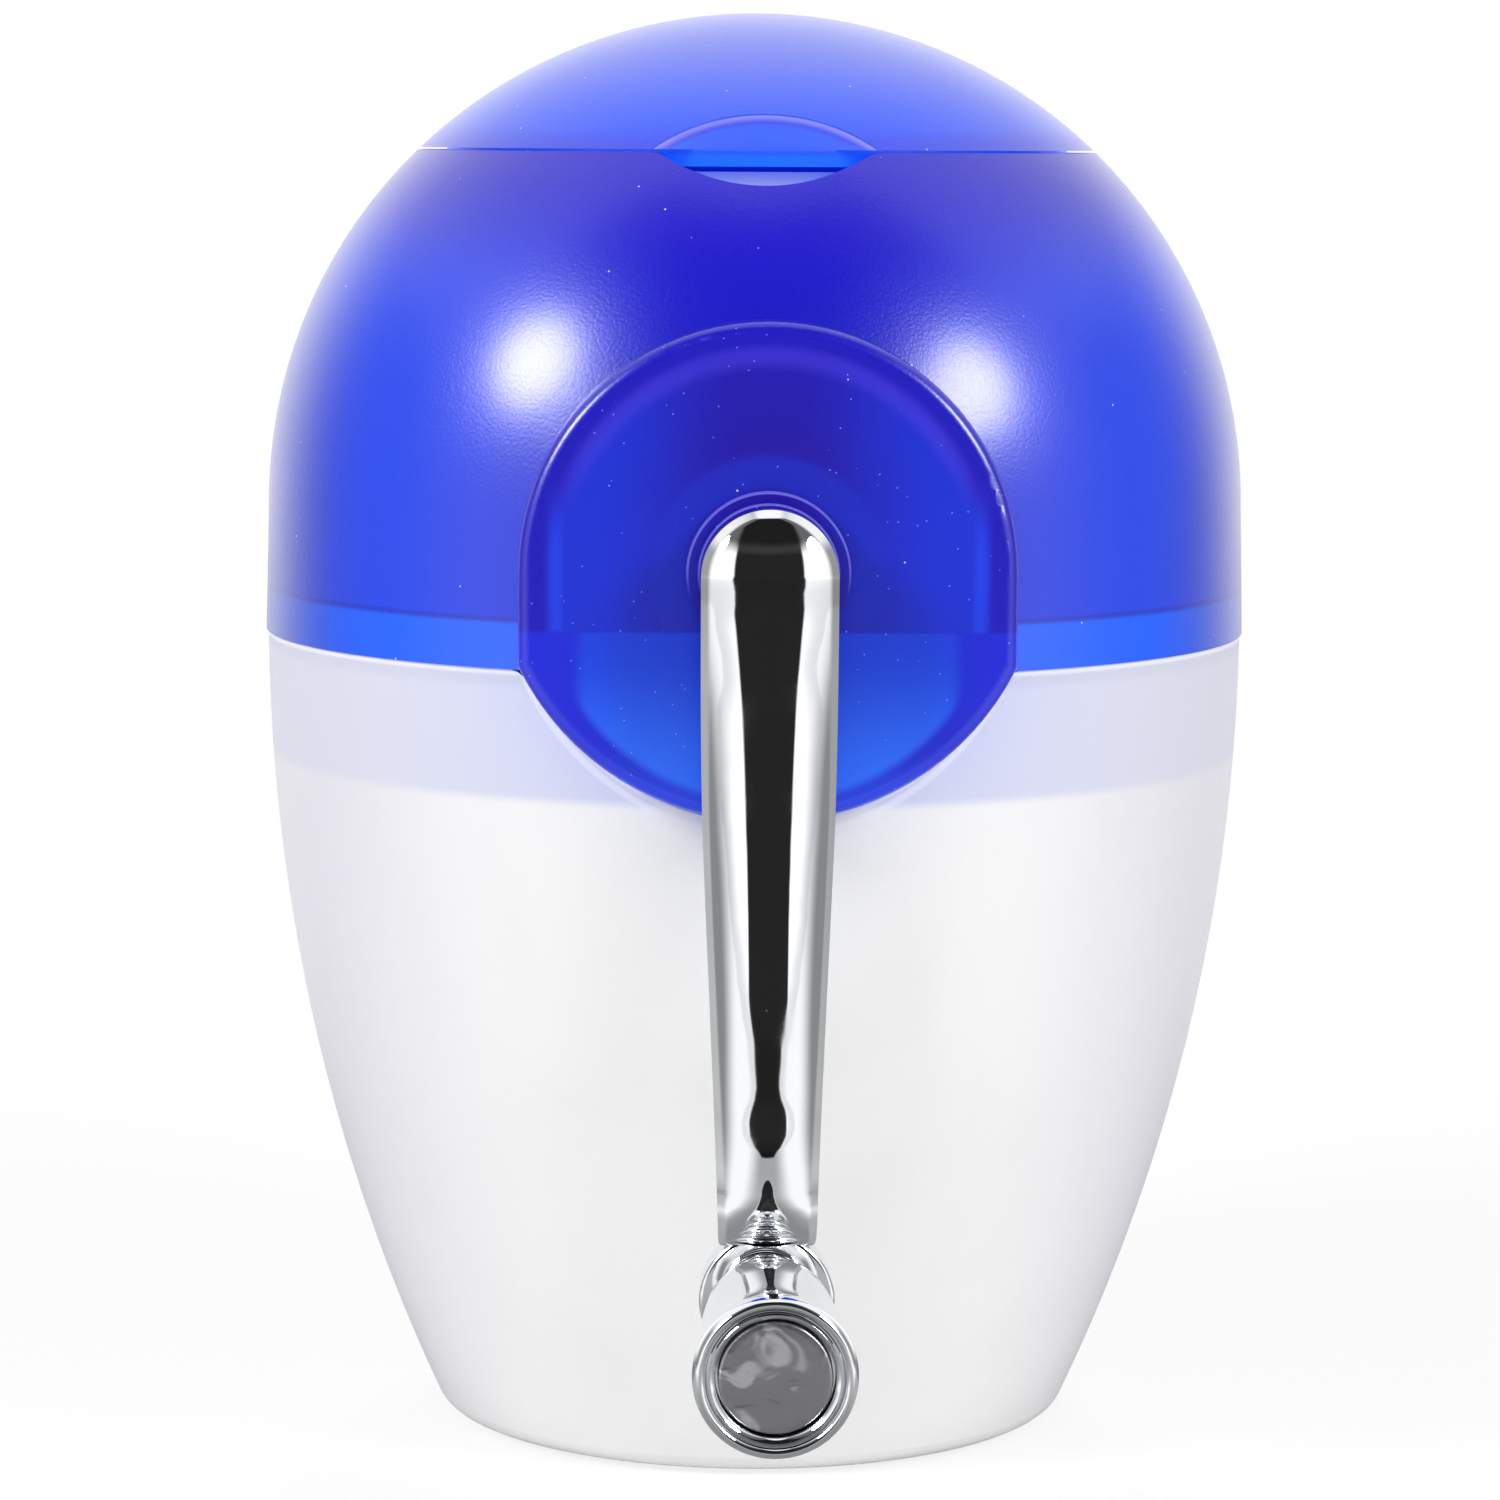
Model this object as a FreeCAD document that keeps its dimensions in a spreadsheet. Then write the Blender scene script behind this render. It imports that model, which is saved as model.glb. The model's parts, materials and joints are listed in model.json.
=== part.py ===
import FreeCAD, Part
import math
import os

import Sketcher

# Hand crank ice crusher: a frosted ice container, a translucent head with a hinged lid over a
# hopper, and a crank that turns clawed blades between two fixed combs.
#
# Frame: millimetres, +Z up, origin at the centre of the base pad's underside. The crank stands
# at the front, towards -Y, and its shaft runs along Y.

SIZES = [
    # container and its base pad
    ("seam_height", 130.0, "table to the joint between container and head"),
    ("body_radius", 80.0, "outer radius of the body at that joint"),
    ("rim_step", 0.4, "how far the container's rim stands back under the head"),
    ("base_radius", 51.0, "outer radius of the container at its base"),
    ("container_wall", 2.4, "wall of the container"),
    ("container_floor", 3.0, "floor of the container"),
    ("inner_edge_radius", 3.0, "rounding of the container's inner bottom edge"),
    ("base_edge_radius", 4.5, "rounding of the container's bottom edge"),
    ("pad_radius", 40.0, "radius of the non-slip base pad"),
    ("pad_thickness", 2.4, "thickness of the base pad"),
    ("pad_proud", 0.6, "how far the pad stands below the container"),
    # head shell
    ("dome_draft", 0.5, "how much the head narrows up to its spherical dome"),
    ("dome_rise", 20.2, "centre of the dome above the seam"),
    ("shell_wall", 2.5, "wall of head shell and lid"),
    ("lid_radius", 55.1, "outer radius of the dome at the joint of lid and head shell"),
    ("lid_gap", 0.4, "gap between lid and head shell"),
    ("thumb_width", 33.0, "width of the thumb notch in the head's upper rim"),
    ("thumb_depth", 5.0, "depth of the thumb notch"),
    ("thumb_shoulder", 5.0, "rounding of the thumb notch's shoulders"),
    # crank boss
    ("crank_rise", 16.0, "crank axis above the seam"),
    ("boss_half_width", 37.0, "radius of the boss's round top"),
    ("boss_proud", 5.5, "how far the boss stands out over the head's lower rim"),
    ("boss_sag", 0.3, "how much lower than a full circle the boss's lower arc hangs"),
    ("boss_corner_rise", 2.0, "where the boss's upright sides end, above the seam"),
    ("boss_edge", 2.0, "rounding of the boss's front edge"),
    ("boss_gap", 0.8, "gap between the boss and the container's notch"),
    ("notch_corner", 3.5, "rounding where the container's notch meets its rim"),
    ("collar_radius", 12.1, "outer step of the hub collar"),
    ("collar_height", 1.6, "height of the outer step"),
    ("collar_step_radius", 10.4, "inner step of the hub collar"),
    ("collar_step_height", 0.8, "height of the inner step over the outer one"),
    # hopper
    ("deck_clearance", 0.3, "gap between the bearing sleeve and the hopper's deck"),
    ("hopper_wall", 2.4, "walls of the hopper"),
    ("deck_gap", 0.3, "gap between the hopper's deck and the shell and seam"),
    ("hopper_skirt_inset", 3.2, "gap between the head's wall and the skirt in the container"),
    ("hopper_skirt_drop", 19.3, "end of the hopper's skirt below the seam"),
    ("chamber_half_width", 29.0, "half of the crushing chamber along X"),
    ("chamber_half_depth", 31.5, "half of the crushing chamber along Y"),
    ("chamber_corner", 3.0, "inner corner radius of the chamber"),
    ("chamber_top_rise", 28.0, "top of the chamber above the crank axis"),
    ("chamber_drop", 31.0, "open bottom of the chamber below the crank axis"),
    ("mouth_inset", 6.9, "inner radius of the hopper's mouth less than the lid's"),
    ("mouth_height", 5.5, "height of the straight mouth wall"),
    ("mouth_drop", 3.0, "rim of the mouth below the lid's joint"),
    # shaft and bearings
    ("journal_radius", 6.5, "front journal of the shaft"),
    ("shaft_square", 9.0, "side of the square that carries the blades"),
    ("square_end_gap", 0.5, "gap between the ends of that square and the chamber"),
    ("drive_square", 7.0, "side of the square in the arm's hub"),
    ("drive_length", 7.0, "length of the square in the arm's hub"),
    ("rear_journal_radius", 4.2, "rear journal of the shaft"),
    ("running_gap", 0.06, "radial clearance of the bearings"),
    ("bearing_radius", 8.4, "outer radius of the front bearing sleeve"),
    ("bearing_flange_radius", 16.5, "flange of the front bearing behind the boss"),
    ("bearing_flange", 2.5, "thickness of that flange"),
    ("bush_radius", 7.5, "outer radius of the rear bush"),
    ("bush_length", 7.0, "length of the rear bush behind the chamber wall"),
    ("bush_flange_radius", 8.4, "flange of the rear bush"),
    ("washer_thickness", 0.8, "thickness of the shaft's washers"),
    ("end_play", 0.3, "axial play of turning pieces"),
    ("clip_radius", 7.0, "outer radius of the retaining clip"),
    ("clip_thickness", 0.9, "thickness of the retaining clip"),
    ("clip_groove_radius", 3.3, "bottom of the clip's groove"),
    # blades and combs
    ("blade_thickness", 2.0, "thickness of a blade"),
    ("blade_radius", 25.0, "circle that the claws reach"),
    ("blade_hub_radius", 10.5, "hub of a blade"),
    ("blade_twist", 24.0, "turn from one blade to the next, in degrees"),
    ("claw_tip_rise", 8.5, "claw tip above the claw's root line"),
    ("claw_root", 7.5, "half width of the claw's root"),
    ("claw_land", 3.4, "flat behind the claw's tip"),
    ("claw_back_radius", 24.0, "curve of the claw's back"),
    ("claw_throat_radius", 15.0, "curve of the claw's throat"),
    ("fit_gap", 0.05, "clearance of the squares in their holes"),
    ("spacer_radius", 8.0, "outer radius of the blade spacers"),
    ("comb_thickness", 1.6, "sheet thickness of the fixed combs"),
    ("comb_height", 17.0, "height of the comb's flange over the axis"),
    ("comb_tip", 13.0, "finger tips from the shaft's axis"),
    ("comb_slope", 7.0, "drop of the fingers towards the shaft"),
    ("comb_gap", 1.4, "clearance between fingers and blades"),
    ("comb_end_gap", 0.1, "gap between a comb and the round corners of the chamber"),
    ("comb_screw_rise", 11.0, "comb screws above the axis"),
    ("comb_screw_reach", 20.0, "comb screws in front of and behind the centre"),
    # small screws
    ("screw_radius", 1.5, "shank of the small screws"),
    ("screw_gap", 0.2, "clearance round the shanks"),
    ("screw_head_radius", 3.0, "head of the small screws"),
    ("screw_head", 2.0, "height of those heads"),
    ("screw_length", 11.0, "length of the hopper screws under the head"),
    ("lug_inset", 13.0, "hopper screws in from the outer radius of the body"),
    ("lug_radius", 4.2, "round end of the screw lugs in the shell"),
    ("lug_height", 13.0, "height of the screw lugs"),
    # crank arm
    ("arm_half_width", 10.1, "half width of the arm at its hub"),
    ("arm_clearance", 6.5, "gap between the boss and the back of the arm"),
    ("arm_depth", 6.5, "depth of the arm at its hub"),
    ("arm_edge", 2.6, "straight side of the arm before its crown"),
    ("arm_bevel", 1.3, "how much the straight side leans in"),
    ("arm_knee_drop", 34.0, "where the arm starts to taper, below the crank axis"),
    ("arm_knee_half_width", 9.95, "half width of the arm there"),
    ("arm_knee_depth", 7.8, "depth of the arm there"),
    ("arm_end_half_width", 7.2, "half width of the arm at its lower end"),
    ("arm_end_depth", 9.8, "depth of the arm at its lower end"),
    ("arm_lean", 2.4, "how far the arm's lower end stands out"),
    ("arm_end_corner", 1.5, "rounding of the arm's lower corners"),
    ("throw", 106.0, "knob axis below the crank axis"),
    ("eye_radius", 10.0, "round eye under the knob"),
    ("eye_thickness", 6.0, "front of the eye before the back of the arm's lower end"),
    ("eye_set", 0.5, "how far the eye stands out behind the arm's lower end"),
    ("eye_edge", 1.5, "rounding of the eye's front edge"),
    ("hub_radius", 9.0, "hub of the arm behind it"),
    # knob
    ("knob_length", 46.5, "length of the knob"),
    ("knob_root_radius", 6.5, "knob at its root, between the beads"),
    ("bead_radius", 7.3, "beads at the knob's root"),
    ("bead_pitch", 3.0, "distance from bead to bead"),
    ("bead_width", 1.8, "width of a bead"),
    ("shoulder_radius", 9.7, "knob where its shoulder ends"),
    ("shoulder_length", 4.4, "length of the shoulder behind the beads"),
    ("shoulder_curve", 4.4, "curve of the shoulder"),
    ("knob_rim_radius", 11.7, "rolled rim of the knob"),
    ("knob_rim_roll", 2.4, "rounding of the rim"),
    ("pin_radius", 2.5, "shouldered screw in the knob"),
    ("pin_head_radius", 4.6, "head of that screw"),
    ("pin_head", 2.6, "height of that head"),
    ("pin_seat", 12.0, "shoulder for the head, behind the knob's face"),
    ("counterbore_radius", 6.0, "bore in front of the shoulder"),
    ("plug_radius", 8.0, "end plug of the knob"),
    ("plug_gap", 0.55, "groove round the plug"),
    ("plug_thickness", 3.5, "thickness of the end plug"),
    ("plug_edge", 0.5, "rounding of the plug's edge"),
    ("plug_sink", 0.9, "plug behind the knob's face"),
    ("pin_grip", 5.0, "length of the screw in the arm's eye"),
    # lid
    ("lid_skirt_gap", 1.0, "clearance of the lid's locating skirt in the head's opening"),
    ("lid_skirt_wall", 1.8, "wall of that skirt"),
    ("lid_skirt_drop", 2.2, "end of the skirt below the joint"),
    ("scoop_radius", 41.0, "ball that forms the thumb scoop"),
    ("scoop_depth", 6.8, "depth of the scoop at the lid's edge"),
    ("hinge_set", 2.4, "hinge axis outside the lid's radius"),
    ("hinge_rise", 3.2, "hinge axis above the joint of lid and shell"),
    ("knuckle_radius", 3.2, "radius of the hinge knuckles"),
    ("knuckle_half_width", 8.4, "half width of the lid's knuckle"),
    ("knuckle_gap", 0.4, "gap between the knuckles"),
    ("knuckle_width", 5.0, "width of each knuckle of the shell"),
    ("knuckle_web", 2.0, "front of the shell's knuckle webs before the hinge axis"),
    ("hinge_pin_radius", 1.5, "radius of the hinge pin"),
]

BLADES = 5
CLAWS = 3
BEADS = 3
HOPPER_SCREWS = 4

SEAM = "dim.seam_height"
AXIS = "(dim.seam_height + dim.crank_rise)"
DECK = f"({AXIS} - dim.bearing_radius - dim.deck_clearance)"
KNOB_AXIS = f"({AXIS} - dim.throw)"

# the dome, and the joint of the lid, which is where the dome has the lid's radius
DOME = "(dim.seam_height + dim.dome_rise)"
OUTER_DOME = "(dim.body_radius - dim.dome_draft)"
INNER_DOME = f"({OUTER_DOME} - dim.shell_wall)"
JOINT_RISE = f"sqrt({OUTER_DOME}^2 - dim.lid_radius^2)"
INNER_RIM = f"sqrt({INNER_DOME}^2 - {JOINT_RISE}^2)"
JOINT = f"({DOME} + {JOINT_RISE})"
LID_BASE = f"({JOINT} + dim.lid_gap)"
LID_SKIRT = f"({INNER_RIM} - dim.lid_skirt_gap)"
HINGE = f"({JOINT} + dim.hinge_rise)"
HINGE_REACH = "(dim.lid_radius + dim.hinge_set)"

# radii that follow the body's
RIM = "(dim.body_radius - dim.rim_step)"
SKIRT_INNER = "(dim.body_radius - dim.shell_wall)"
HOPPER_SKIRT = f"({SKIRT_INNER} - dim.hopper_skirt_inset)"
LUG_CIRCLE = "(dim.body_radius - dim.lug_inset)"
MOUTH = "(dim.lid_radius - dim.mouth_inset)"

# lengths that follow the chamber's
SQUARE_HALF = "(dim.chamber_half_depth - dim.square_end_gap)"
COMB_HALF = "(dim.chamber_half_depth - dim.chamber_corner - dim.comb_end_gap)"
BLADE_PITCH = f"(2 * dim.chamber_half_depth / {BLADES + 1})"

# places along the shaft, measured forwards from the body axis
CHAMBER_OUTER = "(dim.chamber_half_depth + dim.hopper_wall)"
BOSS_FACE = "(dim.body_radius + dim.boss_proud)"
COLLAR_FACE = f"({BOSS_FACE} + dim.collar_height + dim.collar_step_height)"
HUB_FACE = f"({COLLAR_FACE} + dim.end_play + dim.washer_thickness)"
ARM_BACK = f"({BOSS_FACE} + dim.arm_clearance)"
ARM_END_BACK = f"({ARM_BACK} + dim.arm_lean)"
EYE_FACE = f"({ARM_END_BACK} + dim.eye_thickness)"
KNOB_ROOT = f"({EYE_FACE} + dim.end_play)"
KNOB_FACE = f"({KNOB_ROOT} + dim.knob_length)"
KNOB_SEAT = f"({KNOB_FACE} - dim.pin_seat)"
PIN_HEAD = f"({KNOB_SEAT} + dim.end_play + dim.washer_thickness)"

# places along the shaft, measured backwards from the body axis
BUSH_FLANGE = f"({CHAMBER_OUTER} + dim.bush_length)"
REAR_WASHER = f"({BUSH_FLANGE} + dim.washer_thickness + dim.end_play)"
CLIP = f"({REAR_WASHER} + dim.washer_thickness)"

# the container's side: one arc, upright at the rim
SIDE_HEIGHT = "(dim.seam_height - dim.pad_proud)"
SIDE_TAPER = f"({RIM} - dim.base_radius)"
SIDE_RADIUS = f"(({SIDE_HEIGHT}^2 + {SIDE_TAPER}^2) / (2 * {SIDE_TAPER}))"

doc = FreeCAD.newDocument("ice_crusher")
sheet = doc.addObject("Spreadsheet::Sheet", "dim")
for row, (alias, value, meaning) in enumerate(SIZES, start=1):
    sheet.set(f"A{row}", meaning)
    sheet.set(f"B{row}", str(value))
    sheet.setAlias(f"B{row}", alias)
doc.recompute()


# ---------------------------------------------------------------- helpers

def size(expression):
    """Value of an expression over the size sheet."""
    return float(sheet.evalExpression(expression))


def circle_at(radius, level):
    """Half width of a circle of that radius at that distance from its centre."""
    return f"sqrt(({radius})^2 - ({level})^2)"


def bind(item, **expressions):
    """Tie properties of an object to expressions; a double underscore stands for a dot."""
    for name, expression in expressions.items():
        item.setExpression(name.replace("__", "."), expression)
    return item


def tie(sketch, kind, *target, value):
    """Add one dimension to a sketch and bind it to an expression."""
    index = sketch.addConstraint(Sketcher.Constraint(kind, *target, size(value)))
    sketch.setExpression(f"Constraints[{index}]", value)


class Outline:
    """Closed chain of lines and arcs in a sketch, with every corner tied to the size sheet."""

    def __init__(self, sketch, x, y):
        self.sketch = sketch
        self.corners = [(x, y)]
        self.steps = []

    def line(self, x, y):
        self.corners.append((x, y))
        self.steps.append(None)
        return self

    def arc(self, x, y, left=True, **rule):
        """Minor arc to a corner; rule is radius=, centre_x= or centre_y=."""
        self.corners.append((x, y))
        self.steps.append((left, rule))
        return self

    def close(self, left=None, **rule):
        """Last edge, back to the first corner: a line, or an arc when left is given."""
        self.steps.append(None if left is None else (left, rule))
        points = [FreeCAD.Vector(size(x), size(y), 0) for x, y in self.corners]
        ends = []
        for here, step in enumerate(self.steps):
            start = points[here]
            end = points[(here + 1) % len(points)]
            ends.append(self._edge(start, end, step))
        for here, (x, y) in enumerate(self.corners):
            before = ends[here - 1]
            after = ends[here]
            joined = Sketcher.Constraint("Coincident", before[0], before[2], after[0], after[1])
            self.sketch.addConstraint(joined)
            self._place(after[0], after[1], x, y)
        for (index, _, _), step in zip(ends, self.steps):
            if step:
                self._shape_arc(index, step[1])
        return self.sketch

    def _edge(self, start, end, step):
        """Draw one edge and say which of its ends is its start and which its end."""
        if step is None:
            return self.sketch.addGeometry(Part.LineSegment(start, end), False), 1, 2
        left, rule = step
        middle = (start + end) * 0.5
        chord = end - start
        side = FreeCAD.Vector(-chord.y, chord.x, 0).normalize()
        if "radius" in rule:
            rise = math.sqrt(max(size(rule["radius"]) ** 2 - chord.Length ** 2 / 4, 0))
            centre = middle + side * (rise if left else -rise)
        elif "centre_x" in rule:
            centre = middle + side * ((size(rule["centre_x"]) - middle.x) / side.x)
        else:
            centre = middle + side * ((size(rule["centre_y"]) - middle.y) / side.y)
        first, last = (start, end) if left else (end, start)
        angles = [math.atan2(p.y - centre.y, p.x - centre.x) for p in (first, last)]
        circle = Part.Circle(centre, FreeCAD.Vector(0, 0, 1), (start - centre).Length)
        index = self.sketch.addGeometry(Part.ArcOfCircle(circle, angles[0], angles[1]), False)
        return (index, 1, 2) if left else (index, 2, 1)

    def _place(self, index, point, x, y):
        """Fix one corner from the sketch's axes."""
        for kind, axis, value in (("DistanceX", -2, x), ("DistanceY", -1, y)):
            if value == "0":
                on_axis = Sketcher.Constraint("PointOnObject", index, point, axis)
                self.sketch.addConstraint(on_axis)
            else:
                tie(self.sketch, kind, index, point, value=value)

    def _shape_arc(self, index, rule):
        """Fix the one freedom that is left to an arc between two fixed ends."""
        name, value = next(iter(rule.items()))
        if name == "radius":
            tie(self.sketch, "Radius", index, value=value)
        elif value == "0":
            axis = -2 if name == "centre_x" else -1
            self.sketch.addConstraint(Sketcher.Constraint("PointOnObject", index, 3, axis))
        else:
            kind = "DistanceX" if name == "centre_x" else "DistanceY"
            tie(self.sketch, kind, index, 3, value=value)


def body(label, **placement):
    """New piece; placement gives expressions for its Placement."""
    item = doc.addObject("PartDesign::Body", label)
    item.Label = label
    return bind(item, **placement)


def sketch_on(item, plane, name, offset=None, turn=0):
    """Sketch on one of the body's own origin planes, moved along and turned about its normal."""
    sketch = item.newObject("Sketcher::SketchObject", f"{item.Name}_{name}")
    base = next(o for o in item.Origin.OriginFeatures if o.Role == f"{plane}_Plane")
    sketch.AttachmentSupport = (base, [""])
    sketch.MapMode = "FlatFace"
    sketch.AttachmentOffset = FreeCAD.Placement(FreeCAD.Vector(), FreeCAD.Rotation(turn, 0, 0))
    if offset:
        sketch.setExpression(".AttachmentOffset.Base.z", offset)
    return sketch


def circle(sketch, radius, x="0", y="0"):
    """Add a circle whose centre and radius are tied to the size sheet."""
    centre = FreeCAD.Vector(size(x), size(y), 0)
    index = sketch.addGeometry(Part.Circle(centre, FreeCAD.Vector(0, 0, 1), size(radius)), False)
    tie(sketch, "Radius", index, value=radius)
    for kind, axis, value in (("DistanceX", -2, x), ("DistanceY", -1, y)):
        if value == "0":
            sketch.addConstraint(Sketcher.Constraint("PointOnObject", index, 3, axis))
        else:
            tie(sketch, kind, index, 3, value=value)
    return sketch


def rectangle(sketch, x_low, x_high, y_low, y_high):
    """Add a rectangle between four expressions."""
    outline = Outline(sketch, x_low, y_low)
    outline.line(x_high, y_low).line(x_high, y_high).line(x_low, y_high)
    return outline.close()


def feature(item, kind, profile, name, **expressions):
    """Add a PartDesign feature that works on one profile."""
    made = item.newObject(f"PartDesign::{kind}", f"{item.Name}_{name}")
    made.Profile = profile
    return bind(made, **expressions)


def pad(item, profile, name, length, reverse=False):
    """Extrude a profile along its plane's normal, or against it."""
    made = feature(item, "Pad", profile, name, Length=length)
    made.Reversed = reverse
    return made


def pocket(item, profile, name, length, along=False):
    """Cut a profile against its plane's normal, or along it."""
    made = feature(item, "Pocket", profile, name, Length=length)
    made.Reversed = along
    return made


def turned(item, profile, name, axis, kind="Revolution"):
    """Revolve a profile, or cut with it, by a full turn about a sketch axis."""
    made = feature(item, kind, profile, name)
    made.ReferenceAxis = (profile, [axis])
    made.Angle = 360
    return made


def edges_where(shape, test):
    """Names of the edges of a shape that pass a test."""
    return [f"Edge{n}" for n, edge in enumerate(shape.Edges, start=1) if test(edge)]


def rounded(item, base, name, radius, test):
    """Fillet the edges of the last feature that pass a test."""
    doc.recompute()
    made = item.newObject("PartDesign::Fillet", f"{item.Name}_{name}")
    made.Base = (base, edges_where(base.Shape, test))
    return bind(made, Radius=radius)


def near(value, expression):
    """True when a measured place agrees with an expression."""
    return abs(value - size(expression)) < 0.01


# ---------------------------------------------------------------- container

def container_inner(level):
    """Inner radius of the container at a height."""
    return (f"({RIM} - {SIDE_RADIUS} + "
            + circle_at(f"{SIDE_RADIUS} - dim.container_wall", f"{SEAM} - {level}") + ")")


def boss_outline(sketch, grow):
    """Round top, upright sides and a flatter lower arc, grown all round by an expression."""
    half = f"(dim.boss_half_width + {grow})"
    lowest = f"({AXIS} - dim.boss_half_width - dim.boss_sag)"
    depth = f"({SEAM} + dim.boss_corner_rise - {lowest})"
    radius = f"((dim.boss_half_width^2 + {depth}^2) / (2 * {depth}))"
    centre = f"({lowest} + {radius})"
    lower = f"({radius} + {grow})"
    corner = f"({centre} - {circle_at(lower, half)})"
    outline = Outline(sketch, half, AXIS)
    outline.arc("0", f"{AXIS} + {half}", left=True, centre_y=AXIS)
    outline.arc(f"-{half}", AXIS, left=True, centre_y=AXIS)
    outline.line(f"-{half}", corner)
    outline.arc(half, corner, left=True, centre_y=centre)
    return outline.close()


def make_container():
    """Tapering cup with a notch in its front rim for the boss of the head."""
    item = body("ice_container")
    floor = "(dim.pad_thickness + dim.container_floor)"
    recess = "dim.pad_radius + dim.screw_gap"
    wall = Outline(sketch_on(item, "XZ", "wall"), "0", "dim.pad_thickness")
    wall.line(recess, "dim.pad_thickness").line(recess, "dim.pad_proud")
    wall.line("dim.base_radius", "dim.pad_proud")
    wall.arc(RIM, SEAM, left=True, centre_y=SEAM)
    wall.line(f"{RIM} - dim.container_wall", SEAM)
    wall.arc(container_inner(floor), floor, left=False, centre_y=SEAM)
    wall.line("0", floor)
    cup = turned(item, wall.close(), "cup", "V_Axis")
    cup = rounded(item, cup, "base_edge", "dim.base_edge_radius",
                  lambda e: near(e.BoundBox.ZMax, "dim.pad_proud")
                  and near(e.BoundBox.XMax, "dim.base_radius"))
    cup = rounded(item, cup, "inner_edge", "dim.inner_edge_radius",
                  lambda e: near(e.BoundBox.ZMax, floor) and near(e.BoundBox.ZMin, floor))
    notch = boss_outline(sketch_on(item, "XZ", "notch"), "dim.boss_gap")
    cut = pocket(item, notch, "notch_cut", BOSS_FACE, along=True)
    rounded(item, cut, "notch_corners", "dim.notch_corner",
            lambda e: near(e.BoundBox.ZMin, SEAM) and e.BoundBox.XLength < 0.01)
    return item


def make_base_pad():
    """Non-slip disc, seated in the recess of the container's base."""
    item = body("base_pad")
    disc = pad(item, circle(sketch_on(item, "XY", "disc"), "dim.pad_radius"), "pad",
               "dim.pad_thickness")
    rounded(item, disc, "edge", "dim.pad_proud / 2",
            lambda e: near(e.BoundBox.ZMax, "0"))
    return item


# ---------------------------------------------------------------- head

def make_head_shell():
    """Dome with a drafted skirt, the crank boss, the thumb notch, screw lugs and hinge knuckles."""
    item = body("head_shell")
    above = f"{JOINT} + dim.shell_wall"

    outer = Outline(sketch_on(item, "XZ", "outer"), "0", SEAM)
    outer.line("dim.body_radius", SEAM).line(OUTER_DOME, DOME)
    outer.arc("dim.lid_radius", JOINT, left=True, centre_x="0").line("0", JOINT)
    turned(item, outer.close(), "dome", "V_Axis")

    face = boss_outline(sketch_on(item, "XZ", "boss", BOSS_FACE), "0")
    boss = pad(item, face, "boss_pad", f"{BOSS_FACE} - dim.boss_half_width", reverse=True)
    rounded(item, boss, "boss_edge", "dim.boss_edge",
            lambda e: near(-e.BoundBox.YMin, BOSS_FACE) and near(-e.BoundBox.YMax, BOSS_FACE))

    low = f"{AXIS} - dim.boss_half_width - dim.boss_sag - dim.shell_wall"
    back = f"{HOPPER_SKIRT} + dim.boss_gap"
    inner = Outline(sketch_on(item, "XZ", "inner"), "0", low)
    inner.line(back, low).line(back, SEAM).line(SKIRT_INNER, SEAM)
    inner.line(INNER_DOME, DOME).arc(INNER_RIM, JOINT, left=True, centre_x="0")
    inner.line(INNER_RIM, above).line("0", above)
    turned(item, inner.close(), "hollow", "V_Axis", kind="Groove")

    cavity = boss_outline(sketch_on(item, "XZ", "cavity", f"{BOSS_FACE} - dim.shell_wall"),
                          "(-dim.shell_wall)")
    pocket(item, cavity, "cavity_cut", f"{BOSS_FACE} - dim.boss_half_width")

    collar = circle(sketch_on(item, "XZ", "collar", BOSS_FACE), "dim.collar_radius", y=AXIS)
    pad(item, collar, "collar_pad", "dim.collar_height")
    step = circle(sketch_on(item, "XZ", "step", f"{BOSS_FACE} + dim.collar_height"),
                  "dim.collar_step_radius", y=AXIS)
    pad(item, step, "step_pad", "dim.collar_step_height")
    bore = circle(sketch_on(item, "XZ", "bore", COLLAR_FACE), "dim.journal_radius + dim.end_play",
                  y=AXIS)
    pocket(item, bore, "bore_cut", f"{COLLAR_FACE} - dim.boss_half_width")

    thumb = thumb_notch(sketch_on(item, "XZ", "thumb"))
    pocket(item, thumb, "thumb_cut", "dim.body_radius", along=True)
    add_screw_lugs(item)
    add_hinge_knuckles(item)
    return item


def thumb_notch(sketch):
    """Shallow arc in the upper rim, with rounded shoulders that run into the rim."""
    half = "(dim.thumb_width / 2)"
    radius = f"(({half}^2 + dim.thumb_depth^2) / (2 * dim.thumb_depth))"
    both = f"({radius} + dim.thumb_shoulder)"
    rise = f"({both} - dim.thumb_depth)"
    shoulder = circle_at(both, rise)
    touch_x = f"({radius} * {shoulder} / {both})"
    touch_z = f"({JOINT} - dim.thumb_depth + {radius} - {radius} * {rise} / {both})"
    above = f"{JOINT} + dim.shell_wall"
    outline = Outline(sketch, shoulder, JOINT)
    outline.arc(touch_x, touch_z, left=True, centre_x=shoulder)
    outline.arc(f"-{touch_x}", touch_z, left=False,
                centre_y=f"{JOINT} - dim.thumb_depth + {radius}")
    outline.arc(f"-{shoulder}", JOINT, left=True, centre_x=f"-{shoulder}")
    outline.line(f"-{shoulder}", above).line(shoulder, above)
    return outline.close()


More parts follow.
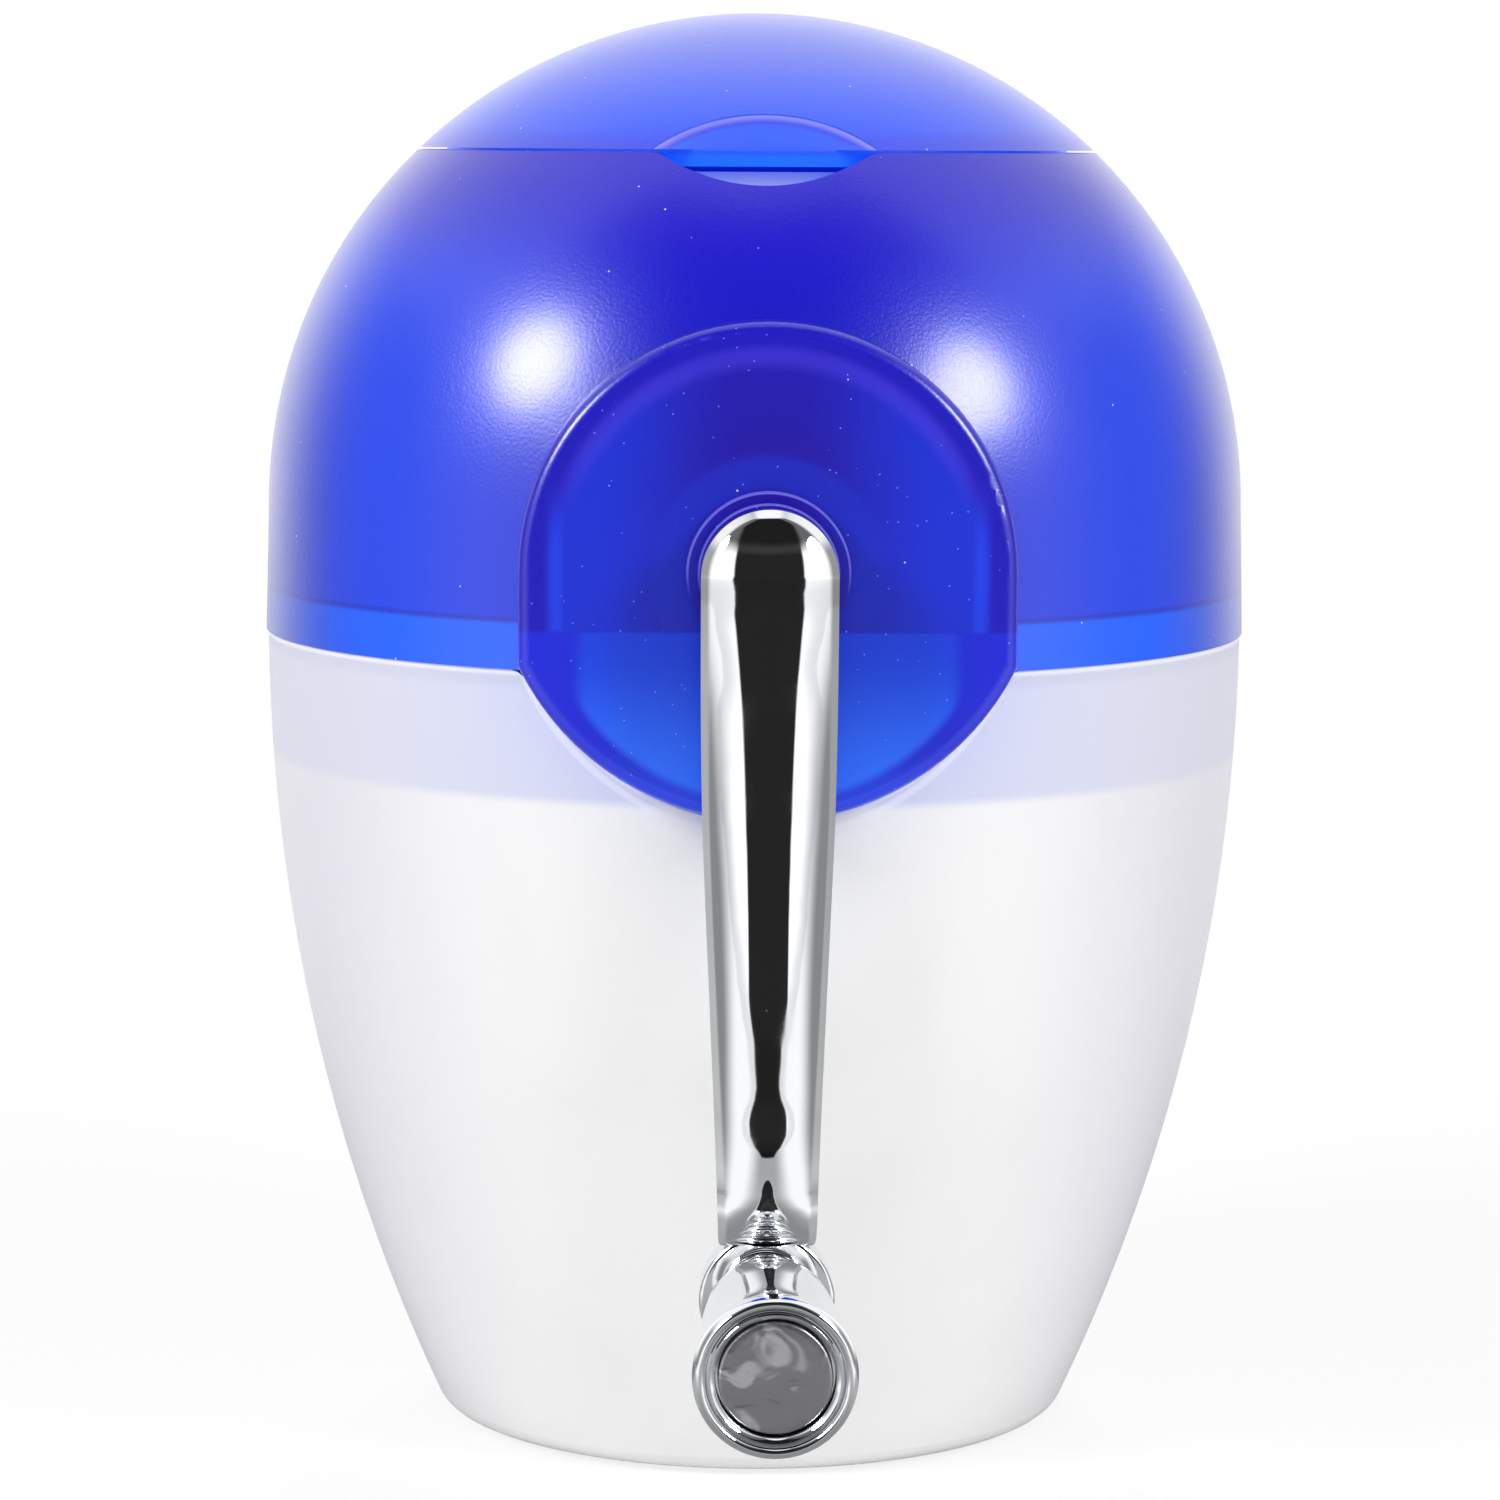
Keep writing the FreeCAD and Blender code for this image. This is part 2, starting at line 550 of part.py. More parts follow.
def add_screw_lugs(item):
    """Lugs on the inside of the skirt that take the hopper screws from below."""
    reach = f"{SKIRT_INNER} + dim.shell_wall / 2"
    lug = Outline(sketch_on(item, "XY", "lug", DECK, turn=45), LUG_CIRCLE, "-dim.lug_radius")
    lug.line(reach, "-dim.lug_radius").line(reach, "dim.lug_radius")
    lug.line(LUG_CIRCLE, "dim.lug_radius")
    profile = lug.close(left=True, centre_x=LUG_CIRCLE)
    lugs = pattern(item, pad(item, profile, "lug_pad", "dim.lug_height"), profile, HOPPER_SCREWS)
    item.Tip = lugs
    hole = circle(sketch_on(item, "XY", "pilot", DECK, turn=45), "dim.screw_radius",
                  x=LUG_CIRCLE)
    drilled = pocket(item, hole, "pilot_cut", "dim.screw_length", along=True)
    item.Tip = pattern(item, drilled, hole, HOPPER_SCREWS)


def pattern(item, base, profile, count):
    """Repeat a feature about the normal of its sketch, evenly over a full turn."""
    made = item.newObject("PartDesign::PolarPattern", f"{base.Name}_pattern")
    made.Originals = [base]
    made.Axis = (profile, ["N_Axis"])
    made.Angle = 360
    made.Occurrences = count
    item.Tip = made
    return made


def add_hinge_knuckles(item):
    """Two knuckles at the back that hold the ends of the hinge pin."""
    front = f"({HINGE_REACH} - dim.knuckle_web)"
    back = f"({HINGE_REACH} + dim.knuckle_radius)"
    lug = Outline(sketch_on(item, "YZ", "knuckle", "dim.knuckle_half_width + dim.knuckle_gap"),
                  back, HINGE)
    lug.arc(f"{HINGE_REACH} - dim.knuckle_radius", HINGE, left=True, centre_y=HINGE)
    lug.line(front, f"{JOINT} + dim.lid_gap")
    lug.line(front, f"{DOME} + {circle_at(INNER_DOME, front)}")
    lug.line(back, f"{DOME} + {circle_at(INNER_DOME, back)}")
    knuckle = pad(item, lug.close(), "knuckle_pad", "dim.knuckle_width")
    mirrored(item, knuckle)
    hole = circle(sketch_on(item, "YZ", "hinge_bore"), "dim.hinge_pin_radius",
                  x=HINGE_REACH, y=HINGE)
    half = "(dim.knuckle_half_width + dim.knuckle_gap + dim.knuckle_width)"
    mirrored(item, pocket(item, hole, "hinge_bore_cut", half, along=True))


def mirrored(item, base):
    """Repeat a feature on the other side of the YZ plane."""
    plane = next(o for o in item.Origin.OriginFeatures if o.Role == "YZ_Plane")
    made = item.newObject("PartDesign::Mirrored", f"{base.Name}_mirror")
    made.Originals = [base]
    made.MirrorPlane = (plane, [""])
    item.Tip = made
    return made


def rounded_rectangle(sketch, half_x, half_y, corner):
    """Rectangle about the origin with round corners; each corner is one arc."""
    inset_x = f"({half_x} - {corner})"
    inset_y = f"({half_y} - {corner})"
    outline = Outline(sketch, half_x, f"-{inset_y}")
    outline.line(half_x, inset_y)
    outline.arc(inset_x, half_y, left=True, centre_x=inset_x)
    outline.line(f"-{inset_x}", half_y)
    outline.arc(f"-{half_x}", inset_y, left=True, centre_x=f"-{inset_x}")
    outline.line(f"-{half_x}", f"-{inset_y}")
    outline.arc(f"-{inset_x}", f"-{half_y}", left=True, centre_x=f"-{inset_x}")
    outline.line(inset_x, f"-{half_y}")
    return outline.close(left=True, centre_x=inset_x)


def split_circle(sketch, radius, half_x, half_y, corner):
    """Circle in eight arcs that end at the same bearings as the rounded rectangle's edges."""
    inset_x = f"({half_x} - {corner})"
    inset_y = f"({half_y} - {corner})"
    side = f"sqrt({half_x}^2 + {inset_y}^2)"
    end = f"sqrt({inset_x}^2 + {half_y}^2)"
    side_x = f"({radius} * {half_x} / {side})"
    side_y = f"({radius} * {inset_y} / {side})"
    end_x = f"({radius} * {inset_x} / {end})"
    end_y = f"({radius} * {half_y} / {end})"
    outline = Outline(sketch, side_x, f"-{side_y}")
    outline.arc(side_x, side_y, left=True, centre_x="0")
    outline.arc(end_x, end_y, left=True, centre_x="0")
    outline.arc(f"-{end_x}", end_y, left=True, centre_y="0")
    outline.arc(f"-{side_x}", side_y, left=True, centre_x="0")
    outline.arc(f"-{side_x}", f"-{side_y}", left=True, centre_x="0")
    outline.arc(f"-{end_x}", f"-{end_y}", left=True, centre_x="0")
    outline.arc(end_x, f"-{end_y}", left=True, centre_y="0")
    return outline.close(left=True, centre_x="0")


def make_hopper():
    """Deck with a locating skirt, crushing chamber, funnel and mouth, all one moulding."""
    item = body("ice_hopper")
    deck_bottom = f"({DECK} - dim.hopper_wall)"
    skirt_bottom = f"({SEAM} - dim.hopper_skirt_drop)"
    ring = f"{SKIRT_INNER} - dim.deck_gap"
    skirt_inner = f"{HOPPER_SKIRT} - dim.hopper_wall"
    bottom = f"({AXIS} - dim.chamber_drop)"
    top = f"({AXIS} + dim.chamber_top_rise)"
    mouth = f"({JOINT} - dim.mouth_drop - dim.mouth_height)"
    inside = ("dim.chamber_half_width", "dim.chamber_half_depth", "dim.chamber_corner")
    outside = tuple(f"({value} + dim.hopper_wall)" for value in inside)

    deck = Outline(sketch_on(item, "XZ", "deck"), "0", DECK)
    deck.line("0", deck_bottom).line(skirt_inner, deck_bottom).line(skirt_inner, skirt_bottom)
    deck.line(HOPPER_SKIRT, skirt_bottom)
    deck.line(HOPPER_SKIRT, f"{SEAM} + dim.deck_gap")
    deck.line(ring, f"{SEAM} + dim.deck_gap").line(ring, DECK)
    turned(item, deck.close(), "deck_turned", "V_Axis")

    walls = rounded_rectangle(sketch_on(item, "XY", "walls", bottom), *outside)
    pad(item, walls, "walls_pad", f"{top} - {bottom}")
    funnel = item.newObject("PartDesign::AdditiveLoft", "ice_hopper_funnel")
    funnel.Profile = rounded_rectangle(sketch_on(item, "XY", "funnel_low", top), *outside)
    funnel.Sections = [split_circle(sketch_on(item, "XY", "funnel_high", mouth),
                                    f"({MOUTH} + dim.hopper_wall)", *outside)]
    rim = circle(sketch_on(item, "XY", "rim", mouth), f"{MOUTH} + dim.hopper_wall")
    pad(item, rim, "rim_pad", "dim.mouth_height")

    throat = item.newObject("PartDesign::SubtractiveLoft", "ice_hopper_throat")
    throat.Profile = rounded_rectangle(sketch_on(item, "XY", "throat_low", top), *inside)
    throat.Sections = [split_circle(sketch_on(item, "XY", "throat_high", mouth),
                                    MOUTH, *inside)]
    opening = circle(sketch_on(item, "XY", "opening", mouth), MOUTH)
    pocket(item, opening, "opening_cut", "dim.mouth_height", along=True)
    chamber = rounded_rectangle(sketch_on(item, "XY", "chamber", bottom), *inside)
    pocket(item, chamber, "chamber_cut", f"{top} - {bottom}", along=True)

    housing = circle(sketch_on(item, "XZ", "housing", f"-{BUSH_FLANGE}"),
                     "dim.bush_radius + dim.hopper_wall", y=AXIS)
    pad(item, housing, "housing_pad", "dim.bush_length + dim.hopper_wall")
    rear = circle(sketch_on(item, "XZ", "rear_bore"), "dim.bush_radius + dim.fit_gap",
                  y=AXIS)
    pocket(item, rear, "rear_bore_cut", BUSH_FLANGE)
    front = circle(sketch_on(item, "XZ", "front_bore"), "dim.journal_radius + dim.end_play", y=AXIS)
    pocket(item, front, "front_bore_cut", CHAMBER_OUTER, along=True)

    hole = circle(sketch_on(item, "XY", "deck_hole", deck_bottom, turn=45),
                  "dim.screw_radius + dim.screw_gap", x=LUG_CIRCLE)
    drilled = pocket(item, hole, "deck_hole_cut", "dim.hopper_wall", along=True)
    pattern(item, drilled, hole, HOPPER_SCREWS)
    holes = sketch_on(item, "YZ", "comb_holes", "-dim.chamber_half_width - dim.hopper_wall")
    comb_screw_circles(holes)
    pocket(item, holes, "comb_holes_cut", "2 * (dim.chamber_half_width + dim.hopper_wall)",
           along=True)
    return item


def comb_screw_circles(sketch, base=AXIS):
    """The clearance holes of one comb's two screws, in a side view."""
    for reach in ("-dim.comb_screw_reach", "dim.comb_screw_reach"):
        circle(sketch, "dim.screw_radius + dim.screw_gap", x=reach,
               y=f"{base} + dim.comb_screw_rise")


def make_comb(label, turn):
    """Bent sheet: a flange on the chamber wall and fingers that slope towards the shaft."""
    item = body(label, Placement__Base__z=AXIS)
    item.Placement.Rotation = FreeCAD.Rotation(FreeCAD.Vector(0, 0, 1), turn)
    wall = "dim.chamber_half_width"
    inner = f"({wall} - dim.comb_thickness)"
    slope = f"(dim.comb_slope / ({wall} - dim.comb_tip))"
    profile = Outline(sketch_on(item, "XZ", "profile", COMB_HALF), wall, "0")
    profile.line(wall, "dim.comb_height").line(inner, "dim.comb_height")
    profile.line(inner, f"dim.comb_thickness - {slope} * dim.comb_thickness")
    profile.line("dim.comb_tip", "dim.comb_thickness - dim.comb_slope")
    profile.line("dim.comb_tip", "-dim.comb_slope")
    pad(item, profile.close(), "sheet", f"2 * {COMB_HALF}", reverse=True)

    first = f"({(BLADES - 1) / 2} * {BLADE_PITCH})"
    half_slot = "(dim.blade_thickness / 2 + dim.comb_gap)"
    slot = rectangle(sketch_on(item, "XY", "slot", "-dim.comb_slope"),
                     "dim.comb_tip - dim.comb_thickness", "dim.blade_radius + dim.comb_gap",
                     f"-{first} - {half_slot}", f"-{first} + {half_slot}")
    cut = pocket(item, slot, "slot_cut", "dim.comb_slope + dim.comb_thickness", along=True)
    slots = item.newObject("PartDesign::LinearPattern", f"{item.Name}_slots")
    slots.Originals = [cut]
    slots.Direction = (slot, ["V_Axis"])
    slots.Occurrences = BLADES
    bind(slots, Length=f"2 * {first}")
    item.Tip = slots
    holes = sketch_on(item, "YZ", "holes", inner)
    comb_screw_circles(holes, base="0")
    pocket(item, holes, "holes_cut", "dim.comb_thickness", along=True)
    return item


def make_lid():
    """Dome cap with a locating skirt, a thumb scoop and a hinge knuckle."""
    form = body("lid_form")
    cap_level = f"({JOINT_RISE} + dim.lid_gap)"
    edge = circle_at(OUTER_DOME, cap_level)
    skirt_inner = f"({LID_SKIRT} - dim.lid_skirt_wall)"
    skirt_bottom = f"({JOINT} - dim.lid_skirt_drop)"
    cap = Outline(sketch_on(form, "XZ", "cap"), edge, LID_BASE)
    cap.arc("0", f"{DOME} + {OUTER_DOME}", left=True, centre_y=DOME)
    cap.line("0", f"{DOME} + {INNER_DOME}")
    cap.arc(skirt_inner, f"{DOME} + {circle_at(INNER_DOME, skirt_inner)}", left=False,
            centre_y=DOME)
    cap.line(skirt_inner, skirt_bottom).line(LID_SKIRT, skirt_bottom)
    cap.line(LID_SKIRT, LID_BASE)
    turned(form, cap.close(), "cap_turned", "V_Axis")

    wall_middle = f"({INNER_DOME} + dim.shell_wall / 2)"
    knuckle_top = f"({HINGE} + dim.knuckle_radius)"
    meet = circle_at("dim.knuckle_radius", "dim.hinge_rise - dim.lid_gap")
    knuckle = Outline(sketch_on(form, "YZ", "knuckle", "-dim.knuckle_half_width"),
                      HINGE_REACH, knuckle_top)
    knuckle.line(circle_at(wall_middle, f"{knuckle_top} - {DOME}"), knuckle_top)
    knuckle.line(circle_at(wall_middle, cap_level), LID_BASE)
    knuckle.line(f"{HINGE_REACH} - {meet}", LID_BASE)
    knuckle.arc(f"{HINGE_REACH} + dim.knuckle_radius", HINGE, left=True, centre_y=HINGE)
    pad(form, knuckle.close(left=True, centre_y=HINGE), "knuckle_pad",
        "2 * dim.knuckle_half_width")
    bore = circle(sketch_on(form, "YZ", "bore", "-dim.knuckle_half_width"),
                  "dim.hinge_pin_radius + dim.running_gap", x=HINGE_REACH, y=HINGE)
    pocket(form, bore, "bore_cut", "2 * dim.knuckle_half_width", along=True)

    centre = f"-({edge} - dim.scoop_depth + dim.scoop_radius)"
    scoop_wall = "dim.scoop_radius + dim.shell_wall"
    upper = {"Placement__Base__y": centre, "Placement__Base__z": LID_BASE}
    scoop = part("Sphere", "lid_scoop", Radius="dim.scoop_radius", Angle1="0", **upper)
    lining = part("Sphere", "lid_lining", Radius=scoop_wall, Angle1="0", **upper)
    ball = part("Sphere", "lid_ball", Radius=scoop_wall, **upper)
    dome = part("Sphere", "lid_dome", Radius=OUTER_DOME, Placement__Base__z=DOME)
    foot = part("Cylinder", "lid_foot", Radius=LID_SKIRT,
                Height="dim.lid_skirt_drop + dim.lid_gap", Placement__Base__z=skirt_bottom)
    whole = joined("lid_whole", form, common("lid_lining_trim", lining, dome),
                   common("lid_foot_trim", foot, ball))
    return cut_from("lid", whole, scoop)


def part(kind, name, **expressions):
    """Part primitive whose properties are bound to expressions."""
    return bind(doc.addObject(f"Part::{kind}", name), **expressions)


def common(name, base, tool):
    """Part of one shape that lies in another."""
    made = doc.addObject("Part::Common", name)
    made.Base = base
    made.Tool = tool
    return made


def joined(name, *shapes):
    """Shapes fused into one."""
    made = doc.addObject("Part::MultiFuse", name)
    made.Shapes = list(shapes)
    return made


def cut_from(label, base, tool):
    """One shape less another, as a finished piece."""
    made = doc.addObject("Part::Cut", label)
    made.Label = label
    made.Base = base
    made.Tool = tool
    return made


def make_hinge_pin():
    """Pin of the lid's hinge, flush with the outer faces of the shell's knuckles."""
    half = "(dim.knuckle_half_width + dim.knuckle_gap + dim.knuckle_width)"
    pin = part("Cylinder", "lid_hinge_pin", Radius="dim.hinge_pin_radius", Height=f"2 * {half}",
               Placement__Base__x=f"-{half}", Placement__Base__y=HINGE_REACH,
               Placement__Base__z=HINGE)
    pin.Placement.Rotation = FreeCAD.Rotation(FreeCAD.Vector(0, 1, 0), 90)
    return pin


# ---------------------------------------------------------------- turned pieces along Y

def turned_piece(label, corners, height=AXIS):
    """Piece turned about an axis along Y; corners are (distance forwards, radius) pairs."""
    item = body(label, Placement__Base__z=height)
    first, *others = [(f"-{reach}", radius) for reach, radius in corners]
    outline = Outline(sketch_on(item, "YZ", "profile"), *first)
    for reach, radius in others:
        outline.line(reach, radius)
    turned(item, outline.close(), "turned", "H_Axis")
    return item


def make_front_bearing():
    """Long sleeve from the boss to the chamber, with a flange behind the boss's face."""
    bore = "dim.journal_radius + dim.running_gap"
    face = f"({BOSS_FACE} - dim.shell_wall)"
    flange = f"({face} - dim.bearing_flange)"
    return turned_piece("front_bearing", [
        (face, bore), (face, "dim.bearing_flange_radius"), (flange, "dim.bearing_flange_radius"),
        (flange, "dim.bearing_radius"), (CHAMBER_OUTER, "dim.bearing_radius"),
        (CHAMBER_OUTER, bore)])


def make_rear_bush():
    """Flanged bush in the rear housing of the hopper."""
    bore = "dim.rear_journal_radius + dim.running_gap"
    start = "(-dim.chamber_half_depth - dim.end_play)"
    flange = f"(-{BUSH_FLANGE})"
    end = f"(-{BUSH_FLANGE} - dim.washer_thickness)"
    return turned_piece("rear_bush", [
        (start, bore), (start, "dim.bush_radius"), (flange, "dim.bush_radius"),
        (flange, "dim.bush_flange_radius"), (end, "dim.bush_flange_radius"), (end, bore)])


def make_ring(label, start, thickness, bore, radius, height=AXIS):
    """Flat ring about an axis along Y, from start forwards."""
    end = f"({start} + {thickness})"
    return turned_piece(label, [(start, bore), (start, radius), (end, radius), (end, bore)],
                        height)


# ---------------------------------------------------------------- shaft and blades

def square(sketch, side):
    """Square about the origin."""
    return rectangle(sketch, f"-({side}) / 2", f"({side}) / 2", f"-({side}) / 2", f"({side}) / 2")


def make_shaft():
    """Square for the blades, a journal and a square for the crank in front, a journal behind."""
    item = body("drive_shaft", Placement__Base__z=AXIS)
    half = SQUARE_HALF
    blades = square(sketch_on(item, "XZ", "blades", f"-{half}"), "dim.shaft_square")
    pad(item, blades, "blades_pad", f"2 * {half}")
    journal = circle(sketch_on(item, "XZ", "journal", half), "dim.journal_radius")
    pad(item, journal, "journal_pad", f"{HUB_FACE} - {half}")
    drive = square(sketch_on(item, "XZ", "drive", HUB_FACE), "dim.drive_square")
    pad(item, drive, "drive_pad", "dim.drive_length")
    tail_end = f"({CLIP} + 2 * dim.clip_thickness)"
    rear = circle(sketch_on(item, "XZ", "rear", f"-{tail_end}"), "dim.rear_journal_radius")
    pad(item, rear, "rear_pad", f"{tail_end} - {half}")
    groove = rectangle(sketch_on(item, "YZ", "groove"), CLIP, f"{CLIP} + dim.clip_thickness",
                       "dim.clip_groove_radius", "dim.rear_journal_radius + dim.clip_thickness")
    turned(item, groove, "groove_cut", "H_Axis", kind="Groove")
    return item


def make_blade(number):
    """Clawed blade on the square of the shaft, each turned a little from the one before."""
    item = body(f"crusher_blade_{number + 1}", Placement__Base__z=AXIS,
                Placement__Base__y=f"{number - (BLADES - 1) / 2} * {BLADE_PITCH}")
    turn = number * size("dim.blade_twist")
    start = "-dim.blade_thickness / 2"
    hub = circle(sketch_on(item, "XZ", "hub", start, turn), "dim.blade_hub_radius")
    pad(item, hub, "hub_pad", "dim.blade_thickness")
    tip_x = circle_at("dim.blade_radius", "dim.claw_tip_rise")
    heel_x = f"({tip_x} - dim.claw_land)"
    heel_z = "(dim.claw_tip_rise + dim.claw_land / 2)"
    claw = Outline(sketch_on(item, "XZ", "claw", start, turn), "0", "-dim.claw_root")
    claw.arc(tip_x, "dim.claw_tip_rise", left=True, radius="dim.claw_back_radius")
    claw.line(heel_x, heel_z)
    claw.arc("0", "dim.claw_root", left=False, radius="dim.claw_throat_radius")
    profile = claw.close()
    pattern(item, pad(item, profile, "claw_pad", "dim.blade_thickness"), profile, CLAWS)
    hole = square(sketch_on(item, "XZ", "hole", start), "dim.shaft_square + 2 * dim.fit_gap")
    pocket(item, hole, "hole_cut", "dim.blade_thickness", along=True)
    return item


def make_spacer(number):
    """Tube between two blades, or between the outermost blade and the end of the square."""
    half_blade = "dim.blade_thickness / 2"
    last = (BLADES - 1) / 2
    place = number - last
    low = f"({place - 1} * {BLADE_PITCH} + {half_blade})"
    high = f"({place} * {BLADE_PITCH} - {half_blade})"
    if number == 0:
        low = f"(-{SQUARE_HALF})"
    if number == BLADES:
        high = SQUARE_HALF
    item = body(f"blade_spacer_{number + 1}", Placement__Base__z=AXIS, Placement__Base__y=high)
    length = f"{high} - {low}"
    pad(item, circle(sketch_on(item, "XZ", "tube"), "dim.spacer_radius"), "tube_pad", length)
    hole = square(sketch_on(item, "XZ", "hole"), "dim.shaft_square + 2 * dim.fit_gap")
    pocket(item, hole, "hole_cut", length, along=True)
    return item


# ---------------------------------------------------------------- crank arm and knob

def arm_section(sketch, half, back, depth, whole=True):
    """Cross-section of the arm: flat back, short leaning sides and a round crown."""
    crown = f"({half} - dim.arm_bevel)"
    edge = f"-({back} + dim.arm_edge)"
    front = f"-({back} + {depth})"
    section = Outline(sketch, half, f"-{back}")
    section.line(crown, edge).arc("0", front, left=False, centre_x="0")
    if whole:
        section.arc(f"-{crown}", edge, left=False, centre_x="0").line(f"-{half}", f"-{back}")
    else:
        section.line("0", f"-{back}")
    return section.close()


def make_arm():
    """Tapering bar with a round top, a hub behind it and a round eye under the knob."""
    item = body("crank_arm", Placement__Base__z=AXIS)
    half = "dim.arm_half_width"
    end = "(-dim.throw + dim.bead_radius + 1.5 * dim.end_play)"
    bar = item.newObject("PartDesign::AdditiveLoft", "crank_arm_bar")
    bar.Ruled = True
    bar.Profile = arm_section(sketch_on(item, "XY", "hub_level"), half, ARM_BACK, "dim.arm_depth")
    bar.Sections = [
        arm_section(sketch_on(item, "XY", "knee", "-dim.arm_knee_drop"),
                    "dim.arm_knee_half_width", ARM_BACK, "dim.arm_knee_depth"),
        arm_section(sketch_on(item, "XY", "end", end), "dim.arm_end_half_width", ARM_END_BACK,
                    "dim.arm_end_depth")]
    rounded(item, bar, "end_edge", "dim.arm_end_corner",
            lambda e: near(e.BoundBox.ZMax, end) and not near(-e.BoundBox.YMin, ARM_END_BACK))
    top = arm_section(sketch_on(item, "XY", "top"), half, ARM_BACK, "dim.arm_depth", whole=False)
    turned(item, top, "round_top", "V_Axis")

    eye_rim = f"-({EYE_FACE} - dim.eye_edge)"
    eye_back = f"-({ARM_END_BACK} - dim.eye_set)"
    eye = Outline(sketch_on(item, "XY", "eye", "-dim.throw"), "0", eye_back)
    eye.line("0", f"-{EYE_FACE}").line("dim.eye_radius - dim.eye_edge", f"-{EYE_FACE}")
    eye.arc("dim.eye_radius", eye_rim, left=True, centre_y=eye_rim)
    eye.line("dim.eye_radius", eye_back)
    turned(item, eye.close(), "eye_turned", "V_Axis")

    hub = circle(sketch_on(item, "XZ", "hub", HUB_FACE), "dim.hub_radius")
    pad(item, hub, "hub_pad", f"{ARM_BACK} + dim.arm_edge / 2 - {HUB_FACE}")
    socket = square(sketch_on(item, "XZ", "socket", HUB_FACE),
                    "dim.drive_square + 2 * dim.fit_gap")
    pocket(item, socket, "socket_cut", "dim.drive_length + dim.fit_gap", along=True)
    hole = circle(sketch_on(item, "XZ", "pin_hole", EYE_FACE), "dim.pin_radius", y="-dim.throw")
    pocket(item, hole, "pin_hole_cut", "dim.pin_grip")
    return item


def make_knob():
    """Bell-shaped grip with beads at its root, a rolled rim and a seat for its plug."""
    item = body("knob", Placement__Base__z=KNOB_AXIS)
    bore = "dim.pin_radius + dim.running_gap"
    crest = "(dim.bead_radius - dim.knob_root_radius)"
    bead_curve = f"((dim.bead_width / 2)^2 + {crest}^2) / (2 * {crest})"
    shoulder = f"({KNOB_ROOT} + {BEADS} * dim.bead_pitch)"
    roll = f"({KNOB_FACE} - dim.knob_rim_roll)"
    plug_face = f"({KNOB_FACE} - dim.plug_sink)"
    plug_back = f"({plug_face} - dim.plug_thickness)"
    outline = Outline(sketch_on(item, "YZ", "profile"), f"-{KNOB_ROOT}", bore)
    outline.line(f"-{KNOB_ROOT}", "dim.knob_root_radius")
    for bead in range(BEADS):
        end = f"({KNOB_ROOT} + {bead} * dim.bead_pitch + dim.bead_width)"
        outline.arc(f"-{end}", "dim.knob_root_radius", left=True, radius=bead_curve)
        outline.line(f"-({KNOB_ROOT} + {bead + 1} * dim.bead_pitch)", "dim.knob_root_radius")
    outline.arc(f"-({shoulder} + dim.shoulder_length)", "dim.shoulder_radius", left=True,
                radius="dim.shoulder_curve")
    outline.line(f"-{roll}", "dim.knob_rim_radius")
    outline.arc(f"-{KNOB_FACE}", "dim.knob_rim_radius - dim.knob_rim_roll", left=True,
                centre_x=f"-{roll}")
    outline.line(f"-{plug_face}", "dim.plug_radius + dim.plug_gap")
    outline.line(f"-{plug_back}", "dim.plug_radius + dim.plug_gap")
    outline.line(f"-{plug_back}", "dim.counterbore_radius")
    outline.line(f"-{KNOB_SEAT}", "dim.counterbore_radius").line(f"-{KNOB_SEAT}", bore)
    turned(item, outline.close(), "turned", "H_Axis")
    return item


def make_end_plug():
    """Disc that closes the end of the knob, a little below its rim."""
    item = body("knob_end_plug", Placement__Base__z=KNOB_AXIS)
    face = f"({KNOB_FACE} - dim.plug_sink)"
    disc = circle(sketch_on(item, "XZ", "disc", face), "dim.plug_radius")
    made = pad(item, disc, "pad", "dim.plug_thickness", reverse=True)
    rounded(item, made, "edge", "dim.plug_edge", lambda e: near(-e.BoundBox.YMax, face))
    return item


def make_knob_screw():
    """Shouldered screw in the eye of the arm; its head stands in the counterbore of the knob."""
    grip = f"({EYE_FACE} - dim.pin_grip)"
    end = f"({PIN_HEAD} + dim.pin_head)"
    return turned_piece("knob_screw", [
        (grip, "0"), (grip, "dim.pin_radius"), (PIN_HEAD, "dim.pin_radius"),
        (PIN_HEAD, "dim.pin_head_radius"), (end, "dim.pin_head_radius"), (end, "0")], KNOB_AXIS)


# ---------------------------------------------------------------- small screws

def make_screws(label, places, turn, length):
    """Group of like screws; each has a place under its head and a turn from the upright."""
    screws = []
    for number, (x, y, z) in enumerate(places):
        name = f"{label}_{number + 1}"
        shank = part("Cylinder", f"{name}_shank", Radius="dim.screw_radius", Height=length)
        head = part("Cylinder", f"{name}_head", Radius="dim.screw_head_radius",
                    Height="dim.screw_head", Placement__Base__z="-dim.screw_head")
        screw = joined(name, shank, head)
        side = -1 if size(x) > 0 else 1
        screw.Placement.Rotation = FreeCAD.Rotation(FreeCAD.Vector(0, 1, 0), turn * side)
        bind(screw, Placement__Base__x=x, Placement__Base__y=y, Placement__Base__z=z)
        screws.append(screw)
    group = doc.addObject("Part::Compound", label)
    group.Label = label
    group.Links = screws
    return group


def make_hopper_screws():
    """Four screws up through the deck into the lugs of the shell."""
    reach = f"({LUG_CIRCLE} / sqrt(2))"
    under = f"{DECK} - dim.hopper_wall"
    places = [(f"{sx} * {reach}", f"{sy} * {reach}", under) for sx in (-1, 1) for sy in (-1, 1)]
    return make_screws("hopper_screws", places, 0, "dim.screw_length")


